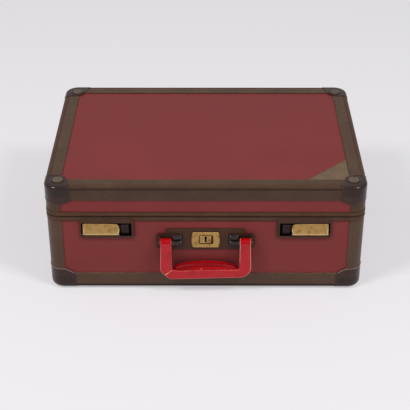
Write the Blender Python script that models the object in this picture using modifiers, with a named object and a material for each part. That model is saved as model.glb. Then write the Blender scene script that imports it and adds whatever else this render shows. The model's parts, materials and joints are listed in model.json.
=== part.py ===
"""A small hard-sided suitcase, modelled as the separate pieces it is assembled from.

The case lies on its base: +X is to the right, the latches and the handle are at the front, towards -Y,
and +Z is up. Z is 0 at the soles of the feet. All lengths are in metres.
An inset is measured inwards from the outside of the edge bindings, so a negative inset lies outside them.
"""
import math

import bmesh
import bpy

# Case, measured over the edge bindings
case_width = 0.460
case_depth = 0.326
case_height = 0.1727
lid_height = 0.0485
corner_radius = 0.020
edge_rounding = 0.0040
least_radius = 0.0006

# Clearances and overruns
seat_gap = 0.0003
split_gap = 0.0006
pin_clearance = 0.0001
overrun = 0.004

# Boards, covering skin and linings
binding_proud = 0.0012
board_thickness = 0.0045
lining_thickness = 0.0008
lining_rounding = 0.006

# Edge bindings
post_width = 0.0230
side_band_height = 0.0216
bottom_band_height = 0.0260
flat_band_width = 0.0235
bead_width = 0.0066
window_radius = 0.0030

# Rims that close on each other
rim_band_height = 0.0070
rim_sheet = 0.0009
rim_web = 0.0011
tongue_height = 0.0050
tongue_clearance = 0.0006
inner_flange_depth = 0.0100

# Corner caps with their studs and feet
cap_thickness = 0.0006
cap_reach_x = 0.0380
cap_reach_y = 0.0352
cap_plan_shoulder = 0.0205
lid_cap_height = 0.0275
lid_cap_shoulder = 0.0222
base_cap_height = 0.0345
base_cap_shoulder = 0.0255
stud_radius = 0.0080
stud_flat_radius = 0.0056
stud_proud = 0.0016
stud_in_x = 0.0190
stud_in_y = 0.0205
ring_gap = 0.0005
ring_width = 0.0030
ring_proud = 0.0011
ring_inner_share = 0.7
ring_outer_share = 0.2

# Hinges
hinge_place_share = 0.3043
hinge_width = 0.050
hinge_leaf_height = 0.0240
hinge_sheet = 0.0012
knuckle_radius = 0.0026
hinge_pin_radius = 0.0013
hinge_rivet_radius = 0.0022
hinge_rivet_proud = 0.0010
hinge_corner_radius = 0.0040
hinge_rivet_height_share = 0.55
hinge_rivet_shares = (-0.34, 0, 0.34)
web_low_share = 0.35
web_high_share = 0.9

# Latches
latch_place_share = 0.3089
latch_width = 0.0782
latch_height = 0.0345
latch_below_split = 0.0024
latch_proud = 0.0018
latch_sheet = 0.0015
latch_corner_radius = 0.0035
latch_edge_share = 0.45
latch_recess_width = 0.0725
latch_recess_shift = 0.0009
latch_recess_height = 0.0224
latch_recess_below = 0.0078
latch_recess_depth = 0.0040
latch_recess_radius = 0.0015
tray_wall = 0.0010

# Hasps
hasp_length = 0.0528
hasp_height = 0.0203
hasp_end_gap = 0.0022
hasp_sheet = 0.0014
hasp_bulge = 0.0020
hasp_corner_radius = 0.0024
hasp_rim_width = 0.0016
hasp_rim_depth = 0.0004
barrel_radius = 0.0016
hasp_pin_radius = 0.0007
lug_sheet = 0.0010
hook_width = 0.0080
hook_height = 0.0030
hook_depth = 0.0025
hook_rise = 0.0128

# Sliding release buttons
button_width = 0.0115
button_height = 0.0129
button_drop = 0.0022
button_proud = 0.0018
button_travel = 0.0035
slot_margin = 0.0003
button_edge = 0.0009
foot_plate_sheet = 0.0014
foot_plate_gap = 0.0009
finger_length = 0.0034

# Strikers on the lid
striker_width = 0.0120
striker_sheet = 0.0008
striker_inset = 0.0029
striker_drop = 0.0200
striker_rise = 0.0090
striker_window_width = 0.0086
striker_window_height = 0.0040
striker_bar = 0.0026
striker_slot_margin = 0.0008

# Plate behind the lock and the handle brackets
plate_end_in = 0.0072
plate_height = 0.0358
plate_sheet = 0.0012
plate_below_split = 0.0200
plate_radius = 0.0030

# Lock
lock_width = 0.0412
lock_height = 0.0271
lock_thickness = 0.0018
lock_edge_share = 0.35
lock_bulge = 0.0012
lock_radius = 0.0022
lock_drop = 0.0054
window_width = 0.0196
window_height = 0.0151
window_side = 0.0006
window_rise = 0.0010
slide_side = 0.0003
slide_end_gap = 0.0007
slide_tail_sheet = 0.0005
slide_thickness = 0.0014
slide_clearance = 0.0004
slide_travel = 0.0020
grip_rib_width = 0.0020
grip_rib_proud = 0.0006
keyhole_radius = 0.0016
keyhole_slot = 0.0021
keyhole_length = 0.0090
keyhole_side = 0.0002
stem_width = 0.0030
stem_height = 0.0080
lock_case_width = 0.0380
lock_case_height = 0.0440
lock_case_depth = 0.0080
lock_case_wall = 0.0009
lock_case_low_share = 0.4
bolt_sheet = 0.0010
bolt_bar_width = 0.0030
bolt_nose_gap = 0.0006
bolt_nose_height = 0.0026
staple_width = 0.0120
staple_sheet = 0.0010
staple_rise = 0.0230
staple_drop = 0.0180
staple_depth = 0.0042
staple_clearance = 0.0010
staple_bar = 0.0011
stem_beyond = 0.0014

# Handle and its brackets
handle_width = 0.1304
arm_width = 0.0158
arm_clearance = 0.0006
pin_below_split = 0.0380
pin_out = 0.0095
handle_pin_radius = 0.0030
loop_radius = 0.0065
loop_side_gap = 0.0002
strap_thickness = 0.0075
strap_offset = 0.0024
strap_rounding = 0.0012
handle_drop = 0.0602
bar_height = 0.0158
bar_arch = 0.0010
handle_corner_radius = 0.0140
handle_inner_radius = 0.0020
grip_end_gap = 0.0028
grip_half_height = 0.0100
grip_half_depth = 0.0074
grip_end_share = 0.52
grip_station_shares = (1.0, 0.92, 0.72, 0.42, 0)
grip_rise = 0.0073
grip_arch = 0.0094
grip_back = 0.0008
ear_width = 0.0026
ear_radius = 0.0046
bracket_sheet = 0.0014
bracket_reach = 0.0132
bracket_beyond_ear = 0.0031
bracket_above_pin = 0.0093
bracket_below_pin = 0.0140
bracket_radius = 0.0035
rib_spacing = 0.0096
rib_radius = 0.0036
rib_reach = 0.0092

# Leather patch on the lid's front right corner
patch_width = 0.0610
patch_depth = 0.0583
patch_thickness = 0.0005

# Faceting
corner_steps = 6
edge_steps = 3
round_steps = 16
small_steps = 12

# Places worked out from the sizes above
skin_sheet = binding_proud - seat_gap
cap_outset = seat_gap + cap_thickness
base_low = cap_outset + stud_proud
top = base_low + case_height
split = top - lid_height
base_rim_high = split - split_gap / 2
lid_rim_low = split + split_gap / 2
base_rim_low = base_rim_high - rim_band_height
lid_rim_high = lid_rim_low + rim_band_height
wall_inset = binding_proud + board_thickness
base_wall_high = base_rim_high - rim_web - seat_gap
lid_wall_low = lid_rim_low + rim_web + seat_gap
tongue_inset = wall_inset + tongue_clearance
tongue_high = split + tongue_height
flange_low = base_rim_high - inner_flange_depth
lining_inset = wall_inset + seat_gap
hinge_out = seat_gap + hinge_sheet + seat_gap + knuckle_radius
case_y = (pin_out + loop_radius - hinge_out - knuckle_radius) / 2
front = case_y - case_depth / 2
rear = case_y + case_depth / 2
panel_front = front + binding_proud
half_width = case_width / 2
plate_width = handle_width - plate_end_in * 2
grip_half_length = handle_width / 2 - arm_width - grip_end_gap
half_depth = case_depth / 2
pin_y = front - pin_out
pin_z = split - pin_below_split
lock_z = split - plate_below_split - lock_drop - lock_height / 2
hinge_x = case_width * hinge_place_share
latch_x = case_width * latch_place_share
recess_x = latch_x + latch_recess_shift
latch_high = split - latch_below_split
latch_low = latch_high - latch_height
recess_high = latch_high - latch_recess_below
recess_low = recess_high - latch_recess_height
recess_inner = recess_x - latch_recess_width / 2
recess_outer = recess_x + latch_recess_width / 2
slot_width = button_travel + slot_margin
tray_half_width = latch_recess_width / 2 + tray_wall
tray_low = recess_low - tray_wall
tray_high = recess_high + tray_wall
tray_back = front + latch_recess_depth + tray_wall
hasp_outer = recess_outer - hasp_end_gap
hasp_inner = hasp_outer - hasp_length
hasp_x = (hasp_inner + hasp_outer) / 2
hasp_low = recess_low + (latch_recess_height - hasp_height) / 2
hasp_axis_z = hasp_low + barrel_radius
hasp_axis_y = front - latch_proud + latch_sheet
slide_width = window_width - slide_side - slide_travel - slide_end_gap
wall_hole_left = -window_width / 4
wall_hole_right = window_side + window_width / 2 + slide_travel + seat_gap
wall_hole_low = lock_z + window_rise - window_height / 2 + seat_gap
wall_hole_high = lock_z + window_rise + window_height / 2 - seat_gap
lock_case_low = lock_z + window_rise - lock_case_height * lock_case_low_share
staple_y = front + tongue_inset + rim_sheet + staple_clearance
staple_low = split - staple_drop
stud_x = half_width - stud_in_x
stud_y = front + stud_in_y
bracket_stand = plate_sheet + seat_gap * 2 - binding_proud + bracket_sheet
ear_inner = handle_width / 2 - arm_width - arm_clearance - ear_width
ear_outer = handle_width / 2 + arm_clearance
bracket_inner = ear_inner - bracket_reach
bracket_outer = ear_outer + ear_width + bracket_beyond_ear
rib_inner = ear_inner - rib_reach

# Finishes: colour, roughness and metallic value
red_cloth = ((0.190, 0.040, 0.038), 0.62, 0.0)
olive_fibre = ((0.085, 0.058, 0.036), 0.45, 0.0)
dark_bead = ((0.045, 0.024, 0.012), 0.40, 0.0)
olive_rim = ((0.075, 0.050, 0.034), 0.38, 0.3)
aubergine = ((0.055, 0.036, 0.038), 0.30, 0.2)
stud_grey = ((0.150, 0.120, 0.100), 0.40, 0.2)
brass = ((0.520, 0.330, 0.110), 0.38, 1.0)
steel = ((0.420, 0.410, 0.400), 0.35, 1.0)
red_leather = ((0.420, 0.020, 0.030), 0.45, 0.0)
beige_leather = ((0.200, 0.150, 0.095), 0.60, 0.0)
lining_cloth = ((0.500, 0.440, 0.340), 0.85, 0.0)


def clear_scene():
    """Remove every object, so that the part is the only thing in the file."""
    for item in list(bpy.data.objects):
        bpy.data.objects.remove(item, do_unlink=True)


def new_collection(name):
    """A collection linked to the scene."""
    collection = bpy.data.collections.new(name)
    bpy.context.scene.collection.children.link(collection)
    return collection


def principled(name, finish):
    """A material with one Principled shader that carries a finish."""
    colour, roughness, metallic = finish
    material = bpy.data.materials.new(name)
    material.use_nodes = True
    shader = material.node_tree.nodes["Principled BSDF"]
    shader.inputs["Base Color"].default_value = (*colour, 1.0)
    shader.inputs["Roughness"].default_value = roughness
    shader.inputs["Metallic"].default_value = metallic
    return material


def mesh_from(bm, name):
    """Turn a bmesh into a mesh whose faces all point outwards."""
    bm.normal_update()
    bmesh.ops.recalc_face_normals(bm, faces=bm.faces)
    if bm.calc_volume(signed=True) < 0:
        bmesh.ops.reverse_faces(bm, faces=bm.faces)
    mesh = bpy.data.meshes.new(name)
    bm.to_mesh(mesh)
    bm.free()
    return mesh


def add_part(name, mesh, finish):
    """Add a named piece of the suitcase with its own material."""
    piece = bpy.data.objects.new(name, mesh)
    mesh.materials.clear()
    mesh.materials.append(principled(name + "_finish", finish))
    parts.objects.link(piece)
    return piece


def add_cutter(name, mesh):
    """Add a shape that only shapes other pieces."""
    cutter = bpy.data.objects.new(name, mesh)
    cutter.hide_render = True
    cutter.display_type = "WIRE"
    cutters.objects.link(cutter)
    return cutter


def combine(piece, other, operation):
    """Cut, join or keep the common part of two shapes with a Boolean modifier."""
    modifier = piece.modifiers.new(other.name, "BOOLEAN")
    modifier.operation = operation
    modifier.object = other
    modifier.solver = "EXACT"
    return piece


def cut(piece, mesh):
    """Cut a shape out of a piece."""
    return combine(piece, add_cutter(piece.name + "_cut", mesh), "DIFFERENCE")


def join(piece, mesh):
    """Fuse a shape onto a piece."""
    return combine(piece, add_cutter(piece.name + "_join", mesh), "UNION")


def keep(piece, mesh):
    """Keep only what lies inside a shape."""
    return combine(piece, add_cutter(piece.name + "_keep", mesh), "INTERSECT")


def bevel(piece, width, segments=2):
    """Round the sharp edges of a piece."""
    modifier = piece.modifiers.new("rounding", "BEVEL")
    modifier.width = width
    modifier.segments = segments
    modifier.limit_method = "ANGLE"
    return piece


def evaluated_mesh(piece):
    """The mesh of an object with its modifiers applied, its loose caps welded."""
    bpy.context.view_layer.update()
    graph = bpy.context.evaluated_depsgraph_get()
    mesh = bpy.data.meshes.new_from_object(piece.evaluated_get(graph))
    bm = bmesh.new()
    bm.from_mesh(mesh)
    bmesh.ops.transform(bm, matrix=piece.matrix_world, verts=bm.verts)
    bmesh.ops.remove_doubles(bm, verts=bm.verts, dist=seat_gap / 30)
    bpy.data.meshes.remove(mesh)
    return mesh_from(bm, piece.name)


def smooth(piece):
    """Shade round faces smooth and keep real edges sharp."""
    piece.data.shade_smooth()
    piece.data.set_sharp_from_angle(angle=math.radians(35))


def arc(centre, radius, start, end, steps):
    """Points on an arc; the angles are in quarter turns."""
    angles = [(start + (end - start) * step / steps) * math.pi / 2 for step in range(steps + 1)]
    return [(centre[0] + radius * math.cos(a), centre[1] + radius * math.sin(a)) for a in angles]


def rounded_rectangle(low, high, radius, steps=corner_steps):
    """Outline of a rectangle with round corners, anticlockwise."""
    x0, y0 = low[0] + radius, low[1] + radius
    x1, y1 = high[0] - radius, high[1] - radius
    corners = ((x1, y1), (x0, y1), (x0, y0), (x1, y0))
    points = []
    for quarter, corner in enumerate(corners):
        points += arc(corner, radius, quarter, quarter + 1, steps)
    return points


def case_outline(inset):
    """Outline of the case seen from above at an inset."""
    radius = max(corner_radius - inset, least_radius)
    low = (-half_width + inset, front + inset)
    high = (half_width - inset, rear - inset)
    return rounded_rectangle(low, high, radius)


def lofted(name, sections, closed=False):
    """A solid through rounded outlines, each given as (inset, height).

    A closed loft returns to its first section as a ring does; an open one has its two ends filled."""
    bm = bmesh.new()
    rings = []
    for inset, height in sections:
        rings.append([bm.verts.new((x, y, height)) for x, y in case_outline(inset)])
    loft_faces(bm, rings, closed)
    return mesh_from(bm, name)


def loft_faces(bm, rings, closed=False):
    """Quads from ring to ring, and on to the first ring again or over both ends."""
    pairs = list(zip(rings, rings[1:]))
    if closed:
        pairs.append((rings[-1], rings[0]))
    for lower, upper in pairs:
        for index in range(len(lower)):
            bm.faces.new((lower[index - 1], lower[index], upper[index], upper[index - 1]))
    if not closed:
        bm.faces.new(rings[0])
        bm.faces.new(rings[-1])


def edge_arc(inset, steps=edge_steps):
    """Profile of the rounded top edge of the case at an inset, from the side to the top."""
    radius = edge_rounding - inset
    centre = (edge_rounding, top - edge_rounding)
    return [(x, z) for x, z in arc(centre, radius, 2, 1, steps)]


def flipped(sections):
    """The same sections for the base: mirrored between the case's lower and upper face."""
    return [(inset, base_low + top - height) for inset, height in sections]


def box(name, xs, ys, zs):
    """A box between pairs of places, given in any order."""
    bm = bmesh.new()
    bmesh.ops.create_cube(bm, size=1.0)
    sizes = [abs(pair[1] - pair[0]) for pair in (xs, ys, zs)]
    middle = [(pair[1] + pair[0]) / 2 for pair in (xs, ys, zs)]
    bmesh.ops.scale(bm, vec=sizes, verts=bm.verts)
    bmesh.ops.translate(bm, vec=middle, verts=bm.verts)
    return mesh_from(bm, name)


def prism(name, outline, axis, span, holes=()):
    """A flat outline extruded along an axis between two places.

    The outline is in (x, y) for axis Z, (x, z) for axis Y and (y, z) for axis X."""
    curve = bpy.data.curves.new(name, "CURVE")
    curve.dimensions = "2D"
    curve.fill_mode = "BOTH"
    curve.extrude = abs(span[1] - span[0]) / 2
    for points in (outline, *holes):
        spline = curve.splines.new("POLY")
        spline.points.add(len(points) - 1)
        for place, (a, b) in zip(spline.points, points):
            place.co = (a, b, 0, 1)
        spline.use_cyclic_u = True
    holder = bpy.data.objects.new(name, curve)
    cutters.objects.link(holder)
    mesh = evaluated_mesh(holder)
    bpy.data.objects.remove(holder)
    bpy.data.curves.remove(curve)
    middle = (span[0] + span[1]) / 2
    bm = bmesh.new()
    bm.from_mesh(mesh)
    for vert in bm.verts:
        a, b, c = vert.co
        if axis == "Z":
            vert.co = (a, b, middle + c)
        elif axis == "Y":
            vert.co = (a, middle + c, b)
        else:
            vert.co = (middle + c, a, b)
    bpy.data.meshes.remove(mesh)
    return mesh_from(bm, name)


def rod(name, radius, place, span, steps=round_steps):
    """A round bar along X at (y, z)."""
    outline = [(place[0] + y, place[1] + z) for y, z in arc((0, 0), radius, 0, 4, steps)[:-1]]
    return prism(name, outline, "X", span)


def dome(name, centre, radius, proud, axis):
    """A low rivet head: a sphere pressed flat along one axis."""
    bm = bmesh.new()
    bmesh.ops.create_uvsphere(bm, u_segments=small_steps, v_segments=6, radius=radius)
    scale = [proud / radius if axis == letter else 1.0 for letter in "XYZ"]
    bmesh.ops.scale(bm, vec=scale, verts=bm.verts)
    bmesh.ops.translate(bm, vec=centre, verts=bm.verts)
    return mesh_from(bm, name)


def mirrored_mesh(mesh, name, flip_x=False, flip_y=False, flip_z=False):
    """A copy of a mesh mirrored across the middle planes of the case."""
    bm = bmesh.new()
    bm.from_mesh(mesh)
    for vert in bm.verts:
        x, y, z = vert.co
        vert.co = (-x if flip_x else x, 2 * case_y - y if flip_y else y, base_low + top - z if flip_z else z)
    return mesh_from(bm, name)


def axis_empty(name, place):
    """An empty on a joint's axis, which carries the pieces that move about it."""
    empty = bpy.data.objects.new(name, None)
    empty.empty_display_size = edge_rounding
    empty.location = place
    parts.objects.link(empty)
    return empty


def carry(empty, *pieces):
    """Parent pieces to an empty and leave them where they are."""
    bpy.context.view_layer.update()
    for piece in pieces:
        piece.parent = empty
        piece.matrix_parent_inverse = empty.matrix_world.inverted()


def sides(side, *values):
    """Places on one side of the case, from distances to its middle plane."""
    return tuple(side * value for value in values)


def make_shells():
    """Two trays of covered board, open towards each other, cut out for the latches, strikers and lock."""
    lid = add_part("lid_shell", lofted("lid_shell", shell_sections(lid_wall_low)), red_cloth)
    base_sections = flipped(shell_sections(base_low + top - base_wall_high))
    base = add_part("base_shell", lofted("base_shell", base_sections), red_cloth)
    inside = front + wall_inset + overrun
    for side in (-1, 1):
        xs = sides(side, recess_x - tray_half_width - seat_gap, recess_x + tray_half_width + seat_gap)
        cut(base, box("latch_hole", xs, (front - overrun, inside),
                      (tray_low - seat_gap, base_wall_high + overrun)))
        xs = sides(side, hasp_x - striker_width / 2 - seat_gap, hasp_x + striker_width / 2 + seat_gap)
        ys = (front + striker_inset - seat_gap, front + striker_inset + striker_sheet + seat_gap)
        cut(lid, box("striker_pocket", xs, ys,
                     (lid_wall_low - overrun, lid_wall_low + striker_rise)))
    cut(base, box("key_hole", (wall_hole_left, wall_hole_right), (front - overrun, inside),
                  (wall_hole_low, wall_hole_high)))
    return base, lid


def shell_sections(open_height):
    """Profile of a lid tray: inner face from the crown to the open edge, then the outer face back up."""
    inner_top = top - wall_inset
    sections = [(wall_inset + lining_rounding, inner_top), (wall_inset, inner_top - lining_rounding)]
    sections += [(wall_inset, open_height), (binding_proud, open_height)]
    return sections + edge_arc(binding_proud)


def make_linings():
    """Thin cloth-covered trays inside the two shells."""
    outer_top = top - lining_inset
    inner_top = outer_top - lining_thickness
    inner_inset = lining_inset + lining_thickness
    corner = lining_rounding

    def sections(open_height):
        return [(inner_inset + corner, inner_top), (inner_inset, inner_top - corner),
                (inner_inset, open_height), (lining_inset, open_height),
                (lining_inset, outer_top - corner), (lining_inset + corner, outer_top)]

    lid_open = tongue_high + seat_gap * 4
    base_open = flange_low - seat_gap
    lid = add_part("lid_lining", lofted("lid_lining", sections(lid_open)), lining_cloth)
    mesh = lofted("base_lining", flipped(sections(base_low + top - base_open)))
    base = add_part("base_lining", mesh, lining_cloth)
    reach = lock_case_width / 2 + seat_gap
    cut(base, box("lock_case_hole", (-reach, reach),
                  (front + wall_inset - overrun, front + inner_inset + overrun),
                  (lock_case_low - seat_gap, base_open + overrun)))
    return base, lid


def make_bindings():
    """Fibre bands round the sides with a post at each corner, flat frames and beads along the edges."""
    made = {}
    panel_x = half_width - post_width
    panel_y = half_depth - post_width
    for half in ("lid", "base"):
        is_lid = half == "lid"
        high = top - edge_rounding - seat_gap
        open_end = lid_rim_high + seat_gap if is_lid else base_low + top - base_rim_low + seat_gap
        band = top - (side_band_height if is_lid else bottom_band_height)
        ring = [(0, high), (0, open_end), (skin_sheet, open_end), (skin_sheet, high)]
        bead = bead_sections()
        flat_low = top - skin_sheet
        turn = (lambda part: part) if is_lid else flipped
        side = add_part(half + "_side_binding", lofted("ring", turn(ring), closed=True), olive_fibre)
        window_low = open_end - overrun
        front_window = rounded_rectangle((-panel_x, window_low), (panel_x, band), window_radius, edge_steps)
        side_window = rounded_rectangle((case_y - panel_y, window_low), (case_y + panel_y, band),
                                        window_radius, edge_steps)
        if not is_lid:
            front_window = flipped(front_window)
            side_window = flipped(side_window)
        cut(side, prism("window", front_window, "Y", (front - overrun, rear + overrun)))
        cut(side, prism("window", side_window, "X", (-half_width - overrun, half_width + overrun)))
        flat_span = (flat_low, top) if is_lid else (base_low, base_low + skin_sheet)
        inner = rounded_rectangle((-half_width + flat_band_width, front + flat_band_width),
                                  (half_width - flat_band_width, rear - flat_band_width),
                                  window_radius, edge_steps)
        flat_name = "lid_top_binding" if is_lid else "base_bottom_binding"
        outline = case_outline(bead_width + seat_gap)
        flat = add_part(flat_name, prism("flat", outline, "Z", flat_span, holes=(inner,)), olive_fibre)
        bead_name = half + "_edge_bead"
        edge = add_part(bead_name, lofted("bead", turn(bead), closed=True), dark_bead)
        made[half] = (side, flat, edge)
    return made


def bead_sections():
    """Quarter-round bead that fills the edge between the side band and the flat frame."""
    outer = edge_arc(0)
    inner = edge_arc(skin_sheet)
    return outer + [(bead_width, top), (bead_width, top - skin_sheet)] + inner[::-1]


def make_rims():
    """Metal rims: the base's has a tongue that stands up inside the lid's."""
    base = [(rim_sheet, base_rim_low), (0, base_rim_low), (0, base_rim_high),
            (tongue_inset, base_rim_high), (tongue_inset, tongue_high),
            (tongue_inset + rim_sheet, tongue_high), (tongue_inset + rim_sheet, base_rim_high),
            (lining_inset + rim_sheet, base_rim_high - rim_web), (lining_inset + rim_sheet, flange_low),
            (lining_inset, flange_low), (lining_inset, base_rim_high - rim_web),
            (rim_sheet, base_rim_high - rim_web)]
    lid = [(0, lid_rim_high), (rim_sheet, lid_rim_high), (rim_sheet, lid_rim_low + rim_web),
           (wall_inset, lid_rim_low + rim_web), (wall_inset, lid_rim_low), (0, lid_rim_low)]
    base_rim = add_part("base_rim", lofted("base_rim", base, closed=True), olive_rim)
    lid_rim = add_part("lid_rim", lofted("lid_rim", lid, closed=True), olive_rim)
    for side in (-1, 1):
        reach = striker_width / 2 + striker_slot_margin
        xs = sides(side, hasp_x - reach, hasp_x + reach)
        ys = (front + striker_inset - striker_slot_margin,
              front + striker_inset + striker_sheet + striker_slot_margin)
        cut(base_rim, box("striker_slot", xs, ys, (base_rim_high - overrun, base_rim_high + overrun / 2)))
        reach = striker_width / 2 + seat_gap
        xs = sides(side, hasp_x - reach, hasp_x + reach)
        ys = (front + striker_inset - seat_gap, front + striker_inset + striker_sheet + seat_gap)
        cut(lid_rim, box("striker_slot", xs, ys, (lid_rim_low - overrun, lid_wall_low)))
    return base_rim, lid_rim


def cap_block(inset, low):
    """A solid with the case's rounded upper edge at an inset, down to a height."""
    return lofted("cap_block", [(inset, low)] + edge_arc(inset))


def corner_cap_mesh(height, shoulder):
    """A pressed cap over the front right upper corner, with the raised ring for its stud."""
    low = top - height
    side_edge = half_width + overrun
    front_edge = front - overrun
    cap = add_cutter("corner_cap", cap_block(-cap_outset, low))
    cut(cap, cap_block(-seat_gap, low - overrun))
    inner_x = half_width - cap_reach_x
    inner_y = front + cap_reach_y
    middle_x = half_width - post_width
    middle_y = front + post_width
    plan = [(inner_x, front_edge), (side_edge, front_edge), (side_edge, inner_y), (middle_x, inner_y),
            (inner_x, front + cap_plan_shoulder)]
    keep(cap, prism("plan", plan, "Z", (low - overrun, top + overrun)))
    cut(cap, prism("nick", cap_nick(inner_x, middle_x, low, shoulder), "Y",
                   (front_edge, front + cap_plan_shoulder)))
    cut(cap, prism("nick", cap_nick(inner_y, middle_y, low, shoulder), "X",
                   (half_width - cap_plan_shoulder, side_edge)))
    join(cap, stud_ring_mesh())
    mesh = evaluated_mesh(cap)
    bpy.data.objects.remove(cap)
    return mesh


def cap_nick(inner, middle, low, shoulder):
    """What is taken off a cap's lower corner, between its reach and the middle of its face."""
    beyond = inner + math.copysign(overrun, inner - middle)
    return [(inner, top - shoulder), (middle, low), (middle, low - overrun), (beyond, low - overrun),
            (beyond, top - shoulder)]


def stud_ring_mesh():
    """The raised ring pressed into a cap round its stud, as a turned profile."""
    low = -cap_thickness / 2
    inner = stud_radius + ring_gap
    outer = inner + ring_width
    crest = (inner + outer) / 2
    profile = [(inner, low), (inner, ring_proud * ring_inner_share), (crest, ring_proud),
               (outer, ring_proud * ring_outer_share), (outer, low)]
    return turned_mesh("stud_ring", profile, (stud_x, stud_y, top + cap_outset), closed=True)


def turned_mesh(name, profile, place, closed=False):
    """Turn a profile of (radius, height) points about Z with a Screw modifier."""
    bm = bmesh.new()
    verts = [bm.verts.new((radius, 0, height)) for radius, height in profile]
    pairs = list(zip(verts, verts[1:]))
    if closed:
        pairs.append((verts[-1], verts[0]))
    for pair in pairs:
        bm.edges.new(pair)
    mesh = bpy.data.meshes.new(name)
    bm.to_mesh(mesh)
    bm.free()
    holder = bpy.data.objects.new(name, mesh)
    cutters.objects.link(holder)
    holder.location = place
    screw = holder.modifiers.new("turn", "SCREW")
    screw.steps = round_steps
    screw.render_steps = round_steps
    screw.use_merge_vertices = True
    screw.merge_threshold = seat_gap / 30
    turned = evaluated_mesh(holder)
    bpy.data.objects.remove(holder)
    return turned


def stud_mesh():
    """A flat-topped stud that stands in the ring of a cap."""
    height = stud_proud
    shoulder = (stud_flat_radius + stud_radius) / 2
    profile = [(0, height), (stud_flat_radius, height), (shoulder, height - seat_gap),
               (stud_radius, height / 2), (stud_radius, seat_gap), (0, seat_gap)]
    return turned_mesh("stud", profile, (stud_x, stud_y, top + cap_outset))


def make_corners():
    """Caps on all eight corners; the lid's hold studs and the base's hold the feet."""
    lid_cap = corner_cap_mesh(lid_cap_height, lid_cap_shoulder)
    base_cap = corner_cap_mesh(base_cap_height, base_cap_shoulder)
    stud = stud_mesh()
    lid_pieces = []
    for depth_name, flip_y in (("front", False), ("rear", True)):
        for side_name, flip_x in (("right", False), ("left", True)):
            corner = depth_name + "_" + side_name
            for name, mesh, finish, flip_z in (
                    ("lid_cap_" + corner, lid_cap, aubergine, False),
                    ("lid_stud_" + corner, stud, stud_grey, False),
                    ("base_cap_" + corner, base_cap, aubergine, True),
                    ("foot_" + corner, stud, stud_grey, True)):
                piece = add_part(name, mirrored_mesh(mesh, name, flip_x, flip_y, flip_z), finish)
                smooth(piece)
                if name.startswith("lid"):
                    lid_pieces.append(piece)
    return lid_pieces


def make_hinges():
    """Two leaf hinges on the rear face, riveted over the rims, each with a loose pin."""
    lid_leaves = []
    axis_y = rear + hinge_out
    for side_name, side in (("left", -1), ("right", 1)):
        centre = side * hinge_x
        ends = (centre - hinge_width / 2, centre + hinge_width / 2)
        third = hinge_width / 3
        base_knuckles = ((ends[0], ends[0] + third - seat_gap), (ends[1] - third + seat_gap, ends[1]))
        lid_knuckles = ((ends[0] + third, ends[1] - third),)
        for half, direction, knuckles in (("base", -1, base_knuckles), ("lid", 1, lid_knuckles)):
            name = f"{half}_hinge_leaf_{side_name}"
            leaf = add_part(name, hinge_leaf_mesh(name, ends, direction), steel)
            for span in knuckles:
                web_z = sorted((split + direction * knuckle_radius * web_low_share,
                                split + direction * knuckle_radius * web_high_share))
                join(leaf, box("web", span, (rear + seat_gap + hinge_sheet / 2, axis_y), web_z))
                join(leaf, rod("knuckle", knuckle_radius, (axis_y, split), span))
            bore = rod("bore", hinge_pin_radius + pin_clearance, (axis_y, split),
                       (ends[0] - overrun, ends[1] + overrun), small_steps)
            cut(leaf, bore)
            if half == "lid":
                lid_leaves.append(leaf)
        pin = rod("hinge_pin_" + side_name, hinge_pin_radius, (axis_y, split), ends, small_steps)
        smooth(add_part("hinge_pin_" + side_name, pin, steel))
    return lid_leaves


def hinge_leaf_mesh(name, ends, direction):
    """A hinge leaf stepped from the rim onto the panel, with round outer corners and three rivet heads."""
    rim_out = rear + seat_gap
    panel_out = rear - binding_proud + seat_gap
    near = split + direction * split_gap
    step = split + direction * (split_gap / 2 + rim_band_height + seat_gap * 2)
    far = split + direction * hinge_leaf_height
    profile = [(rim_out, near), (rim_out + hinge_sheet, near), (rim_out + hinge_sheet, step),
               (panel_out + hinge_sheet, step + direction * hinge_sheet), (panel_out + hinge_sheet, far),
               (panel_out, far), (panel_out, step + direction * hinge_sheet), (rim_out, step)]
    leaf = add_cutter(name, prism(name, profile, "X", ends))
    low, high = sorted((near - direction * hinge_corner_radius * 3, far))
    outline = rounded_rectangle((ends[0], low), (ends[1], high), hinge_corner_radius, edge_steps)
    keep(leaf, prism("outline", outline, "Y", (rear - overrun, rear + overrun)))
    rivet_z = split + direction * (hinge_leaf_height + rim_band_height) * hinge_rivet_height_share
    for share in hinge_rivet_shares:
        rivet_x = (ends[0] + ends[1]) / 2 + share * hinge_width
        join(leaf, dome("rivet", (rivet_x, panel_out + hinge_sheet, rivet_z), hinge_rivet_radius,
                        hinge_rivet_proud, "Y"))
    mesh = evaluated_mesh(leaf)
    bpy.data.objects.remove(leaf)
    return mesh


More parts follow.
